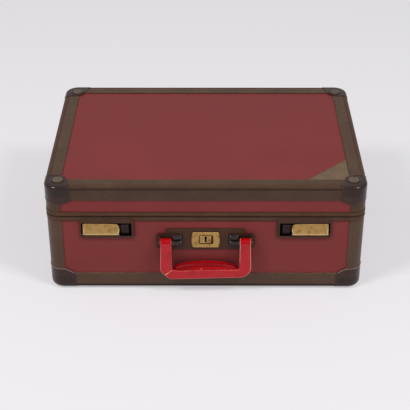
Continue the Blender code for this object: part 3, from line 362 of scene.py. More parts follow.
def new_finish(name):
    """An empty material, its tree, its shader and its object coordinates."""
    material = bpy.data.materials.new(name)
    material.use_nodes = True
    tree = material.node_tree
    tree.nodes.clear()
    out = add(tree, "ShaderNodeOutputMaterial")
    shader = add(tree, "ShaderNodeBsdfPrincipled")
    tree.links.new(shader.outputs[0], out.inputs["Surface"])
    place = add(tree, "ShaderNodeTexCoord").outputs["Object"]
    return material, tree, shader, place


def noise(tree, place, size, detail=3.0, roughness=0.55, stretch=None, distortion=0.0):
    """Noise whose blobs are about size millimetres across, drawn out along an axis by stretch."""
    if stretch is not None:
        place = add(tree, "ShaderNodeMapping", {"Scale": stretch}, {"Vector": place}).outputs[0]
    return add(tree, "ShaderNodeTexNoise",
               {"Scale": 1 / (size * MM), "Detail": detail, "Roughness": roughness, "Distortion": distortion},
               {"Vector": place}).outputs["Fac"]


def between(tree, value, low, high, to_low=0.0, to_high=1.0):
    """Carry a value from one range to another, clamped."""
    return add(tree, "ShaderNodeMapRange",
               {"From Min": low, "From Max": high, "To Min": to_low, "To Max": to_high},
               {"Value": value}).outputs["Result"]


def math_node(tree, operation, a, b):
    """Arithmetic on two values, each a number or an output."""
    node = add(tree, "ShaderNodeMath", {"operation": operation})
    for index, value in enumerate((a, b)):
        if isinstance(value, (int, float)):
            node.inputs[index].default_value = value
        else:
            tree.links.new(value, node.inputs[index])
    return node.outputs[0]


def tinted(tree, under, over, factor):
    """Colour over laid on colour under where factor is 1. Each is a hex code or an output."""
    node = add(tree, "ShaderNodeMix", {"data_type": "RGBA"}, {0: factor})
    for index, value in ((6, under), (7, over)):
        if isinstance(value, str):
            node.inputs[index].default_value = linear(value)
        else:
            tree.links.new(value, node.inputs[index])
    return node.outputs[2]


def bump(tree, shader, height, distance, strength=1.0):
    """Raise the surface by height times distance millimetres."""
    node = add(tree, "ShaderNodeBump", {"Strength": strength, "Distance": distance * MM}, {"Height": height})
    tree.links.new(node.outputs[0], shader.inputs["Normal"])


def rubbed_and_highlight_mask(tree, place, size, low, high):
    """Where the piece's own marks and a noise agree: rubbed edges and painted highlights, broken up."""
    mark = add(tree, "ShaderNodeAttribute", {"attribute_name": "wear_and_painted_light"}).outputs["Fac"]
    broken = noise(tree, place, size, 5, 0.65)
    return between(tree, math_node(tree, "MULTIPLY", mark, math_node(tree, "ADD", broken, 0.5)), low, high)


def darkening_and_painted_shade(tree):
    """How far a piece's marks fall below zero: where it is darkened, mostly as painted shade and painted dark
    reflections.
    """
    mark = add(tree, "ShaderNodeAttribute", {"attribute_name": "wear_and_painted_light"}).outputs["Fac"]
    return between(tree, mark, 0.0, -1.0, 0.0, 0.8)


def settle(tree, shader, colour=None, roughness=None, **fixed):
    """Set the shader: linked colour and roughness, and the rest as plain values."""
    for key, value in (("Base Color", colour), ("Roughness", roughness)):
        if value is None:
            continue
        if isinstance(value, str):
            shader.inputs[key].default_value = linear(value)
        elif isinstance(value, float):
            shader.inputs[key].default_value = value
        else:
            tree.links.new(value, shader.inputs[key])
    for key, value in fixed.items():
        shader.inputs[key.replace("_", " ")].default_value = value


def rubbed_book_cloth():
    """Red cotton book cloth, filled and glazed: an even dull red, faintly mottled where hands have rubbed it,
    with threads about 0.5 mm apart drawn at 1.1 mm so that they show."""
    material, tree, shader, place = new_finish("rubbed_book_cloth")
    blotch = noise(tree, place, 70, 4, 0.6)
    speck = noise(tree, place, 5, 6, 0.7)
    thread = noise(tree, place, 1.1, 2, 0.5)
    colour = tinted(tree, "#6d2524", "#732a29", between(tree, blotch, 0.35, 0.7))
    colour = tinted(tree, colour, "#671f1e", between(tree, speck, 0.55, 0.78, 0, 0.45))
    colour = tinted(tree, colour, "#813735", between(tree, thread, 0.58, 0.8, 0, 0.35))
    rough = between(tree, blotch, 0.3, 0.7, 0.58, 0.66)
    settle(tree, shader, colour, rough, Specular_IOR_Level=0.25, Sheen_Weight=0.06, Sheen_Roughness=0.4)
    height = math_node(tree, "ADD", thread, math_node(tree, "MULTIPLY", speck, 0.6))
    bump(tree, shader, height, 0.10, 0.6)
    return material


def varnished_fibre(name, base, light, dark, coat=0.0):
    """Vulcanised fibre under old varnish: olive brown, clouded and specked, paler where the varnish is rubbed
    off at the edges and where a highlight is painted, and darker where shade is painted."""
    material, tree, shader, place = new_finish(name)
    blotch = noise(tree, place, 35, 4, 0.6)
    speck = noise(tree, place, 3, 5, 0.7)
    colour = tinted(tree, base, light, between(tree, blotch, 0.4, 0.75))
    colour = tinted(tree, colour, dark, between(tree, speck, 0.5, 0.72, 0, 0.75))
    # Pale where the marks are high: rubbed edges, and the base bead's painted highlight.
    colour = tinted(tree, colour, "#8a7660", rubbed_and_highlight_mask(tree, place, 4, 0.75, 1.25))
    # Near black where the marks fall below zero: painted shadow lines at binding edges, and the bead's darker
    # front run.
    colour = tinted(tree, colour, "#1d140d", darkening_and_painted_shade(tree))
    rough = between(tree, speck, 0.3, 0.7, 0.40, 0.52)
    settle(tree, shader, colour, rough, Specular_IOR_Level=0.2, Coat_Weight=coat, Coat_Roughness=0.3)
    bump(tree, shader, math_node(tree, "ADD", blotch, math_node(tree, "MULTIPLY", speck, 0.3)), 0.25, 0.5)
    return material


def stoved_lacquer(name, base, light, wear_and_painted_light, roughness, gloss, coat=0.0):
    """Stoved lacquer on pressed steel: dark and smooth, paler where its crests are rubbed, with fine
    scratches, and darkened where shade and dark reflections are painted."""
    material, tree, shader, place = new_finish(name)
    blotch = noise(tree, place, 14, 4, 0.6)
    scratch = noise(tree, place, 1.6, 4, 0.7, (1.0, 1.0, 5.0), 0.4)
    colour = tinted(tree, base, light, between(tree, blotch, 0.4, 0.75))
    colour = tinted(tree, colour, wear_and_painted_light, rubbed_and_highlight_mask(tree, place, 2.5, 0.85, 1.35))
    # Near black where the marks fall below zero: painted shade at the rims' split and round the studs' feet,
    # a painted dark reflection on the caps' rounded edge, and the caps' darker tops.
    colour = tinted(tree, colour, "#0b0604", darkening_and_painted_shade(tree))
    rough = between(tree, scratch, 0.3, 0.75, roughness, roughness + 0.16)
    settle(tree, shader, colour, rough, Specular_IOR_Level=gloss, Coat_Weight=coat, Coat_Roughness=0.1)
    bump(tree, shader, scratch, 0.04, 0.5)
    return material


def aged_brass(name, base, light):
    """Rolled brass left to dull: warm yellow, browner in blotches, with fine rubbing and a painted highlight
    on a raised rim.
    """
    material, tree, shader, place = new_finish(name)
    blotch = noise(tree, place, 9, 5, 0.65)
    surface_marks = noise(tree, place, 1.3, 4, 0.7, (1.0, 1.0, 3.0))
    colour = tinted(tree, base, light, between(tree, surface_marks, 0.4, 0.75))
    colour = tinted(tree, colour, "#75552a", between(tree, blotch, 0.48, 0.74, 0, 0.75))
    # Pale along the hasp's rolled rim: a painted highlight.
    colour = tinted(tree, colour, "#d6be8c", rubbed_and_highlight_mask(tree, place, 3, 0.5, 1.1))
    colour = tinted(tree, colour, "#2a1c0c", darkening_and_painted_shade(tree))
    rough = between(tree, blotch, 0.35, 0.7, 0.42, 0.58)
    settle(tree, shader, colour, rough, Metallic=0.75)
    bump(tree, shader, math_node(tree, "ADD", surface_marks, blotch), 0.06, 0.6)
    return material


def dulled_steel(name, base, light):
    """Steel that has dulled: plated grey or oil-blackened, with faint cloudy patches."""
    material, tree, shader, place = new_finish(name)
    cloud = noise(tree, place, 6, 4, 0.6)
    colour = tinted(tree, base, light, between(tree, cloud, 0.35, 0.7))
    settle(tree, shader, colour, between(tree, cloud, 0.3, 0.7, 0.32, 0.46), Metallic=1.0)
    bump(tree, shader, cloud, 0.03, 0.4)
    return material


def glazed_leather(name, base, deep, pale, gloss):
    """Aniline-dyed cow hide, glazed: saturated red with a fine grain of about 1 mm, and the dye rubbed off
    at the edges down to tan and pink."""
    material, tree, shader, place = new_finish(name)
    blotch = noise(tree, place, 16, 4, 0.6)
    grain = add(tree, "ShaderNodeTexVoronoi", {"Scale": 1 / (1.1 * MM), "feature": "DISTANCE_TO_EDGE"},
                {"Vector": place}).outputs["Distance"]
    crease = between(tree, grain, 0.0, 0.12)
    speck = noise(tree, place, 2.4, 5, 0.7)
    colour = tinted(tree, base, deep, between(tree, blotch, 0.42, 0.7, 0, 0.7))
    colour = tinted(tree, colour, pale, rubbed_and_highlight_mask(tree, place, 3, 0.55, 1.25))
    colour = tinted(tree, colour, deep, between(tree, speck, 0.6, 0.8, 0, 0.35))
    # Deep red where the marks fall below zero: painted shade on the grip's upper front, and a slightly deeper
    # tone over the loops.
    colour = tinted(tree, colour, "#4e0006", darkening_and_painted_shade(tree))
    rough = between(tree, speck, 0.35, 0.7, 0.34, 0.5)
    settle(tree, shader, colour, rough, Specular_IOR_Level=gloss)
    pores = math_node(tree, "MULTIPLY", speck, 0.5)
    height = math_node(tree, "ADD", math_node(tree, "MULTIPLY", crease, 0.35), pores)
    bump(tree, shader, height, 0.12, 0.5)
    return material


def worn_skiver():
    """Thin split leather, its face rubbed away: beige olive, with traces of red dye and pale scuffs."""
    material, tree, shader, place = new_finish("worn_skiver")
    blotch = noise(tree, place, 14, 5, 0.6)
    fibre = noise(tree, place, 1.8, 5, 0.7, (1.0, 0.5, 1.0))
    colour = tinted(tree, "#5d4b38", "#6b5944", between(tree, blotch, 0.4, 0.7))
    colour = tinted(tree, colour, "#7d4a3c", between(tree, noise(tree, place, 9, 3, 0.5), 0.58, 0.75, 0, 0.6))
    colour = tinted(tree, colour, "#948a70", between(tree, fibre, 0.6, 0.82, 0, 0.6))
    settle(tree, shader, colour, 0.62, Specular_IOR_Level=0.25)
    bump(tree, shader, fibre, 0.15, 0.6)
    return material


def lining_cotton():
    """Plain cotton lining glued to board: beige, matt, with threads drawn at 1.2 mm."""
    material, tree, shader, place = new_finish("lining_cotton")
    weave = noise(tree, place, 1.2, 2, 0.5)
    stain = noise(tree, place, 60, 3, 0.6)
    colour = tinted(tree, "#bdb098", "#aa9b80", between(tree, stain, 0.45, 0.7))
    colour = tinted(tree, colour, "#cfc5b0", between(tree, weave, 0.55, 0.8, 0, 0.5))
    settle(tree, shader, colour, 0.85, Sheen_Weight=0.2)
    bump(tree, shader, weave, 0.12, 0.6)
    return material


cloth = rubbed_book_cloth()
fibre = varnished_fibre("varnished_fibre", "#463325", "#513e2e", "#342418")
side_fibres = {"lid": varnished_fibre("darker_varnished_fibre", "#3e2919", "#463221", "#2d1d11", 0.15),
               "base": varnished_fibre("rubbed_varnished_fibre", "#462f20", "#4f3929", "#352316", 0.2)}
bead_fibre = varnished_fibre("waxed_fibre_bead", "#452d1c", "#4e3525", "#321f11")
rim_lacquer = stoved_lacquer("olive_stoved_lacquer", "#442a18", "#4c3320", "#7c6a55", 0.38, 0.2)
frame_lacquer = stoved_lacquer("brown_stoved_lacquer", "#3b2213", "#42291b", "#6f5c4c", 0.36, 0.2)
bracket_lacquer = stoved_lacquer("red_brown_stoved_lacquer", "#54221b", "#5a2a21", "#6f5c4c", 0.40, 0.15)
flange_lacquer = stoved_lacquer("dark_brown_stoved_lacquer", "#2f1b14", "#38231b", "#6f5c4c", 0.34, 0.2)
rib_lacquer = stoved_lacquer("black_stoved_lacquer", "#180e0c", "#211614", "#6f5c4c", 0.07, 0.5)
slider_lacquer = stoved_lacquer("black_button_lacquer", "#1e1412", "#271b1a", "#5a4a44", 0.34, 0.15)
# Near black for recesses, gaps and walls: painted shade.
shadow_lacquer = stoved_lacquer("painted_shadow_lacquer", "#0c0605", "#120b09", "#2c221e", 0.5, 0.05)
cap_lacquer = stoved_lacquer("aubergine_stoved_lacquer", "#2d1812", "#37221a", "#6f5f58", 0.22, 0.22, 0.2)
stud_lacquer = stoved_lacquer("worn_grey_lacquer", "#52463c", "#5e5347", "#82766a", 0.42, 0.2)
brass = aged_brass("aged_brass", "#a98449", "#b99a62")
shaded_brass = aged_brass("brass_in_shade", "#6a5029", "#775c33")
steel = dulled_steel("zinc_plated_steel", "#8f8b84", "#a8a49c")
black_steel = dulled_steel("oil_blackened_steel", "#1b1918", "#26221f")
red_hide = glazed_leather("glazed_red_hide", "#a81420", "#8d0a14", "#d2937c", 0.28)
grip_hide = glazed_leather("glazed_red_grip_hide", "#a6030e", "#8c0108", "#d2937c", 0.1)
skiver = worn_skiver()
lining = lining_cotton()


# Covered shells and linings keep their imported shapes

for node_name in ("lid_shell", "base_shell"):
    frame["nodes"][node_name].data.materials.clear()
    frame["nodes"][node_name].data.materials.append(cloth)
for node_name in ("lid_lining", "base_lining"):
    dressed(node_name, lining)


def slow_wave(s, size, seed):
    """A small unevenness along the case: a few sines whose lengths divide the whole way round."""
    draw = np.random.default_rng(seed)
    total = np.zeros_like(s)
    for count in draw.integers(6, 60, 7):
        total += np.sin(2 * math.pi * count * s / ROUND + draw.uniform(0, 2 * math.pi))
    return size * total / 2.6


def edge_wear(value, low, high, reach):
    """1 at either end of a range and 0 further in than reach."""
    return np.exp(-np.minimum(np.abs(value - low), np.abs(high - value)) / reach)


AROUND = np.linspace(0, ROUND, 560, endpoint=False)
RIM_BOW = 0.75


def make_side_binding(half):
    """The fibre band round a half with its four posts: a thin rounded strip carried along the outline."""
    flip = half == "base"
    high = TOP - EDGE_ROUNDS[half] - 0.6
    low = TOP - BANDS[half]
    profile = rounded_box_profile(0.0, SKIN, low, high, 0.3)
    uneven = slow_wave(AROUND, 0.16, 3 + flip)
    near_low = np.clip((high - profile[:, 1]) / (high - low), 0, 1)
    points = swept(AROUND, profile, uneven[:, None] * near_low)
    wear_and_painted_light = np.broadcast_to(edge_wear(profile[:, 1], low, low, 0.9), points.shape[:2])
    patches = [patch(mirrored(points, flip_z=flip), True, True, wear_and_painted_light=wear_and_painted_light)]
    post_end = LOW + TOP - RIMS[half][0] if flip else RIMS[half][1]
    for corner in range(4):
        start = RUNS[2 * corner + 1] - (POST - CORNER)
        end = RUNS[2 * corner + 2] + (POST - CORNER)
        t = np.linspace(start, end, 40)
        profile = rounded_box_profile(0.0, SKIN, post_end + 0.35, low - 0.05, 0.3, 3, 10)
        points = swept(t, profile)
        wear_and_painted_light = edge_wear(t, start, end, 1.2)[:, None] * np.ones(len(profile))
        patches.append(patch(mirrored(points, flip_z=flip), False, True, True, True, wear_and_painted_light=wear_and_painted_light * 0.8))
    build(half + "_side_fibre", patches, half, side_fibres[half],
          (half + "_side_binding",), sharp=50)


def make_flat_binding(node, body, flip):
    """The flat fibre frame round a large face: a low strip between the bead and the panel."""
    outer = (HALF_X - BEAD_IN - 0.3, HALF_Y - BEAD_IN - 0.3, CORNER - BEAD_IN - 0.3)
    inner = (HALF_X - PANEL_IN, HALF_Y - PANEL_IN, 3.0)

    def ring(share, height):
        half_w, half_h, radius = (a + (b - a) * share for a, b in zip(outer, inner))
        return oblong(half_w, half_h, radius, steps=8, middle=60), height

    low = TOP - SKIN
    rings = [ring(0, low), ring(0, TOP - 0.3)]
    rings += [ring(share, TOP) for share in (0.02, 0.3, 0.6, 0.85, 0.96)]
    rings += [ring(1, TOP - 0.3), ring(1, low)]
    points = nested((0, CASE_Y), rings, "XY")
    uneven = slow_wave(np.linspace(0, ROUND, points.shape[1]), 0.25, 5)
    share = np.array([0, 0, 0, 0.1, 0.4, 0.8, 1, 1, 1])[:, None]
    away = points[..., :2] - (0, CASE_Y)
    side_on = np.abs(away[..., 0]) / HALF_X > np.abs(away[..., 1]) / HALF_Y
    points[..., 0] += np.where(side_on, uneven * share, 0)
    points[..., 1] += np.where(side_on, 0, uneven * share)
    # Both edges of the strip are darkened, painted shadow lines where it meets the bead and the panel; the
    # third row is a little paler.
    wear_and_shadow_rows = np.array([-0.8, -0.4, 0.3, 0, 0, 0, 0, -0.7, -1])[:, None] * np.ones(points.shape[1])
    build(node + "_fibre", [patch(mirrored(points, flip_z=flip), True, True, wear_and_painted_light=wear_and_shadow_rows)], body, fibre,
          (node,), sharp=50)


def make_bead(half):
    """The quarter-round bead: an arc from the side to the top, a flat lip and a thin wall, all round. Its
    front run is darkest."""
    radius = EDGE_ROUNDS[half]
    centre = (radius, TOP - radius)
    outer = arc(centre, radius, 180, 90, 8)
    lip = np.array([((radius + BEAD_IN) / 2, TOP), (BEAD_IN, TOP - 0.2), (BEAD_IN, TOP - SKIN)])
    inner = arc(centre, radius - SKIN, 90, 180, 8)
    profile = np.concatenate([outer, lip, inner])
    points = swept(AROUND, profile)
    front = np.clip(-case_path(AROUND)[1][:, 1] * 3 - 2, 0, 1)
    surface_marks = np.zeros(len(profile))
    # A pale line along the middle of the round, strong on the base and faint on the lid: a painted highlight.
    surface_marks[4:7] = 0.2 if half == "lid" else 1.25
    place = np.arange(len(profile))
    # The front run is darker, and the row where the bead meets the side band is dark: painted shade in that
    # joint.
    wear_and_painted_light = surface_marks[None, :] - 0.75 * front[:, None] * (place < 6) - (place < 1)
    build(half + "_bead_fibre", [patch(mirrored(points, flip_z=half == "base"), True, True, wear_and_painted_light=wear_and_painted_light)], half,
          bead_fibre, (half + "_edge_bead",), sharp=50)


def make_rim(half):
    """A rim's rolled band: a strip along the outline, bowed outwards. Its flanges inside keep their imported
    shape."""
    low, high = RIMS[half]
    rise = np.linspace(0, 1, 13)
    bow = RIM_BOW * np.sin(math.pi * rise) ** 0.6
    face = np.stack([-bow, low + 0.2 + (high - low - 0.4) * rise], axis=-1)
    profile = np.concatenate([face, [(0.45, high - 0.2), (0.45, low + 0.2)]])
    points = swept(AROUND, profile, slow_wave(AROUND, 0.05, 11)[:, None])
    to_split = rise if half == "lid" else 1 - rise
    # A faint paler band across the face; both edges and the back are darkened, most at the split between the
    # halves: painted shade.
    wear_and_painted_light = np.concatenate([0.3 * np.exp(-((rise - 0.72) / 0.16) ** 2) - 1.3 * np.exp(-to_split / 0.09)
                           - 0.5 * np.exp((to_split - 1) / 0.07), [-1, -1]])
    build(half + "_rolled_rim", [patch(points, True, True, wear_and_painted_light=wear_and_painted_light)], half, rim_lacquer,
          (half + "_rim",), sharp=60)
    flanges = dressed(half + "_rim", rim_lacquer, 0.12)
    # The flanges' outer faces, seen only in the gap at the split, are painted black as shade.
    repainted(flanges, shadow_lacquer, lambda at, normal: (np.abs(normal[:, 2]) < 0.5) & (
        (np.abs(at[:, 0]) > HALF_X - 1.2) | (np.abs(at[:, 1] - CASE_Y) > HALF_Y - 1.2)))


# Corner caps, studs and feet: p and q run in from the side and the front, h down from the top

cap_low, cap_high = corners_of("lid_cap_front_right")
CAP_SUNK = 0.35
CAP_OUT = cap_high[0] - HALF_X - CAP_SUNK
REACH_X = HALF_X - cap_low[0]
REACH_Y = cap_high[1] - FRONT
CAP_HEIGHTS = {"lid": TOP - cap_low[2], "base": corners_of("base_cap_front_right")[1][2] - LOW}
CAP_SHOULDERS = {"lid": 22.2, "base": 25.5}
stud_low, stud_high = corners_of("lid_stud_front_right")
STUD_P = HALF_X - (stud_low[0] + stud_high[0]) / 2
STUD_Q = (stud_low[1] + stud_high[1]) / 2 - FRONT
RING_IN, RING_OUT = 8.5, 11.5


def softened(points, times=2):
    """Corner cutting: every edge keeps the points at one and at three quarters of it, and the ends stay."""
    for _ in range(times):
        here, after = points[:-1], points[1:]
        cuts = np.stack([here * 0.75 + after * 0.25, here * 0.25 + after * 0.75], axis=1)
        points = np.concatenate([points[:1], cuts.reshape(-1, points.shape[1]), points[-1:]])
    return points


def resampled(points, count):
    """The same line through count points at even distances along it."""
    way = np.concatenate([[0], np.cumsum(np.linalg.norm(np.diff(points, axis=0), axis=1))])
    even = np.linspace(0, way[-1], count)
    return np.stack([np.interp(even, way, points[:, k]) for k in range(points.shape[1])], axis=-1)


def cap_rim(s, edge_round):
    """Cap boundary seen from above for s from 0 to 1: along the front, round the corner, along the side.
    Gives the point where the flat top ends, the outward direction and the distance to the nearer end."""
    run_x, run_y = REACH_X - CORNER, REACH_Y - CORNER
    bend = math.pi / 2 * (CORNER - edge_round)
    t = s * (run_x + bend + run_y)
    angle = np.clip((t - run_x) / (CORNER - edge_round), 0, math.pi / 2)
    out = np.stack([-np.sin(angle), -np.cos(angle)], axis=-1)
    p = CORNER + np.clip(run_x - t, 0, None) + out[:, 0] * (CORNER - edge_round)
    q = CORNER + np.clip(t - run_x - bend, 0, None) + out[:, 1] * (CORNER - edge_round)
    return np.stack([p, q], axis=-1), out, np.minimum(t, run_x + bend + run_y - t)


def raised_lip(distance):
    """Height of the rolled lip near a cap's edge: a low ridge about 3 mm wide."""
    return 0.4 * np.exp(-((distance - 1.4) / 0.85) ** 2)


def cap_points(half):
    """The two grids of a cap in (p, q, h): rays from the stud's ring to the boundary. Where the boundary is
    the case's edge the rays go on round the edge and down the side to the chamfered lower edge."""
    height, shoulder, edge_round = CAP_HEIGHTS[half], CAP_SHOULDERS[half], EDGE_ROUNDS[half]
    centre = np.array([STUD_P, STUD_Q])
    ring = [(0.0, 0.0), (5.0, 0.0), (RING_IN - 0.3, 0.0), (RING_IN + 0.2, 0.75), (RING_IN + 1.2, 1.05),
            (RING_OUT - 0.8, 0.75), (RING_OUT, 0.15), (RING_OUT + 0.6, 0.0)]
    spread = np.linspace(0, 1, 11)[1:]

    def top_part(edge, lipped):
        away = edge - centre
        reach = np.linalg.norm(away, axis=1)[:, None]
        way = away / reach
        radius = np.broadcast_to(np.array([r for r, _ in ring]), (len(edge), len(ring)))
        lift = np.broadcast_to(np.array([h for _, h in ring]), radius.shape)
        outer = ring[-1][0] + (reach - ring[-1][0]) * spread
        radius = np.concatenate([radius, outer], axis=1)
        lift = np.concatenate([lift, lipped(reach - outer)], axis=1)
        return centre + way[:, None, :] * radius[..., None], -CAP_OUT - lift

    edge, out, end_gap = cap_rim(np.linspace(0, 1, 81), edge_round)
    end_gap = end_gap[:, None]
    flat, h = top_part(edge, lambda distance: np.zeros_like(distance))
    h = h - 0.5 * raised_lip(end_gap) * (np.arange(h.shape[1]) >= len(ring))
    turn = np.radians(np.linspace(0, 90, 10))[1:]
    radius = edge_round + CAP_OUT
    round_out = radius + 0.5 * raised_lip(end_gap)
    round_flat = edge[:, None, :] + out[:, None, :] * (round_out * np.sin(turn))[..., None]
    round_h = edge_round - round_out * np.cos(turn)
    reach = np.where(out[:, 1] < -0.99, (edge[:, 0] - POST) / (REACH_X - POST),
                     np.where(out[:, 0] < -0.99, (edge[:, 1] - POST) / (REACH_Y - POST), 0))
    bottom = height - (height - shoulder) * np.clip(reach, 0, 1) ** 1.15
    down = np.concatenate([np.linspace(0, 0.8, 7)[1:], [0.86, 0.9, 0.94, 0.97, 1.0]])
    side_h = edge_round + (bottom[:, None] - edge_round) * down
    side_out = radius + np.maximum(raised_lip((bottom[:, None] - side_h) * 0.95), 0.5 * raised_lip(end_gap))
    side_flat = edge[:, None, :] + out[:, None, :] * side_out[..., None]
    flat = np.concatenate([flat, round_flat, side_flat], axis=1)
    h = np.concatenate([h, round_h, side_h], axis=1)
    crest = np.zeros_like(h)
    # Darkened over the rounded edge and the top of the side: a painted dark reflection.
    crest[:, len(ring) + 10:len(ring) + 22] = -0.55
    crest[:, -3:] = 0.5 if half == "lid" else 1.2
    # The flat top outside the stud ring is darker.
    crest[:, len(ring):len(ring) + 10] = -0.4
    crest[:, 3:6] = 0.3
    lip = np.exp(-((end_gap - 1.4) / 0.8) ** 2) * (np.arange(h.shape[1]) >= len(ring))
    crest = crest + (0.6 - crest) * lip
    outer = np.concatenate([flat, h[..., None]], axis=-1)

    chamfer = [(REACH_X, edge_round), (35.4, 7.0), (34.6, 10.5), (34.3, 16.5), (33.4, 20.4), (27.5, 28.7),
               (24.5, 32.0), (20.0, 34.9), (15.0, REACH_Y), (edge_round, REACH_Y)]
    flat, h = top_part(resampled(softened(np.array(chamfer)), 61), raised_lip)
    crest_in = np.zeros_like(h)
    # The top outside the stud ring is darker, as on the outer grid.
    crest_in[:, len(ring):] = -0.4
    crest_in[:, -2:] = 0.5
    crest_in[:, 3:6] = 0.3
    return (outer, crest), (np.concatenate([flat, h[..., None]], axis=-1), crest_in)


def at_corner(points, flip_x, flip_y, flip_z):
    """(p, q, h) to the row frame, at one of the eight corners."""
    placed = np.stack([HALF_X - points[..., 0], FRONT + points[..., 1], TOP - points[..., 2]], axis=-1)
    return mirrored(placed, flip_x, flip_y, flip_z)


def make_corner_pieces():
    """Eight pressed caps, each with its stud or foot, which is a turned disc with a round shoulder."""
    stud_profile = np.array([(0, 1.6), (4.6, 1.58), (5.9, 1.45), (7.1, 1.1), (7.8, 0.65), (8.0, 0.3),
                             (7.6, 0.1), (0, 0.1)]) * (1, -1) - (0, CAP_OUT + CAP_SUNK)
    stud_steps = 56
    # The stud's shoulder is paler where rubbed; its outer edge and underside, against the cap, are darkened:
    # painted shade round its foot.
    stud_wear_and_shade = np.array([0.2, 0.4, 0.9, 0.9, 0.2, -1, -1, -1])[:, None] * np.ones(stud_steps)
    for half in ("lid", "base"):
        grids = cap_points(half)
        for depth, flip_y in (("front", False), ("rear", True)):
            for side, flip_x in (("right", False), ("left", True)):
                corner = f"{depth}_{side}"
                flips = (flip_x, flip_y, half == "base")
                patches = [patch(at_corner(points, *flips), wear_and_painted_light=crest) for points, crest in grids]
                inside = at_corner(np.array([60.0, 60.0, 60.0]), *flips)
                build(f"{half}_pressed_cap_{corner}", patches, half, cap_lacquer,
                      (f"{half}_cap_{corner}",), inside=inside, wall=0.6, edge=0.2)
                disc = turned(stud_profile, (STUD_P, STUD_Q, 0), stud_steps)
                name, node = (("pressed_stud_", "lid_stud_") if half == "lid" else ("pressed_foot_", "foot_"))
                build(name + corner, [patch(at_corner(disc, *flips), False, True, wear_and_painted_light=stud_wear_and_shade)], half,
                      stud_lacquer, (node + corner,))


# Latches

def make_hasp(side_name, side):
    """The brass flap: nested outlines that rise over a rolled rim to a slightly hollow face, a hinge tube
    along its lower edge and a hook on its back."""
    node = "hasp_" + side_name
    low, high = corners_of(node)
    pin_low, pin_high = corners_of("hasp_pin_" + side_name)
    axis = (pin_low + pin_high) / 2
    half_w = (high[0] - low[0]) / 2 - 1.0
    half_h = (high[2] - low[2]) / 2 - 0.95
    centre = ((low[0] + high[0]) / 2 + side * 1.0, (low[2] + high[2]) / 2 + 0.75)
    bulge = {"left": 2.0, "right": 0.0} if side > 0 else {"left": 0.0, "right": 2.0}
    face = low[1]

    def ring(inset, depth):
        return oblong(half_w - inset, half_h - inset, max(2.4 - inset, 0.5), **bulge), depth

    rings = [ring(0.5, face + 1.4), ring(0.1, face + 1.3), ring(0, face + 0.8), ring(0.12, face + 0.35),
             ring(0.5, face + 0.05), ring(0.95, face), ring(1.4, face + 0.1), ring(1.9, face + 0.3),
             ring(2.6, face + 0.4), ring(4.2, face + 0.4), ring(6.2, face + 0.35), ring(8.0, face + 0.33)]
    points = nested(centre, rings)
    inward = np.clip(-side * (points[..., 0] - centre[0]) / half_w, -1, 1)
    up = (points[..., 2] - centre[1]) / half_h
    points[..., 2] -= np.clip(up, 0, 1) * (1.1 * np.clip(inward, 0, 1) ** 3)
    points[..., 2] += np.clip(-up, 0, 1) * 0.3 * np.sin(inward * 4)
    dents = rng.normal(0, 0.03, points.shape[:2])
    points[8:, :, 1] += dents[8:]
    # The rolled rim is paler, fading out towards the top: a painted highlight along the rim.
    rim_highlight = np.array([0, 0, 0.4, 0.9, 1.15, 1.15, 0.9, 0.5, 0.1, 0, 0, 0])
    wear_and_painted_light = rim_highlight[:, None] * (1 - np.clip(up * 1.6, 0, 1))
    start = low[0] + (1.2 if side > 0 else 0.0)
    end = high[0] - (0.0 if side > 0 else 1.2)
    tube_wall = np.array([(1.6, start), (1.6, end), (0.85, end), (0.85, start)])
    tube = turned(tube_wall, (0, axis[1], axis[2]), 24, axis=0)
    hook_z = axis[2] + 12.8
    hook = nested((side * (abs(low[0]) + abs(high[0])) / 2, hook_z + 1.5),
                  [(oblong(4, 1.5, 0.5), face + 1.2), (oblong(4, 1.5, 0.5), high[1] - 0.4),
                   (oblong(3.7, 1.2, 0.5), high[1])])
    build(node + "_flap", [patch(points, False, True, True, True, wear_and_painted_light=wear_and_painted_light), patch(tube, True, True),
                           patch(hook, False, True, True, True)], node, brass, (node,), sharp=50)


# Handle

pin_low, pin_high = corners_of("handle_pin_right")
PIN_Y, PIN_Z = (pin_low[1] + pin_high[1]) / 2, (pin_low[2] + pin_high[2]) / 2
strap_low, strap_high = corners_of("handle_strap")
HANDLE_X = strap_high[0]
ARM = 15.8
STRAP_FRONT = PIN_Y - 6.15
STRAP_BACK = PIN_Y + 1.35
HANDLE_LOW = strap_low[2]
BAR_TOP = HANDLE_LOW + 15.8


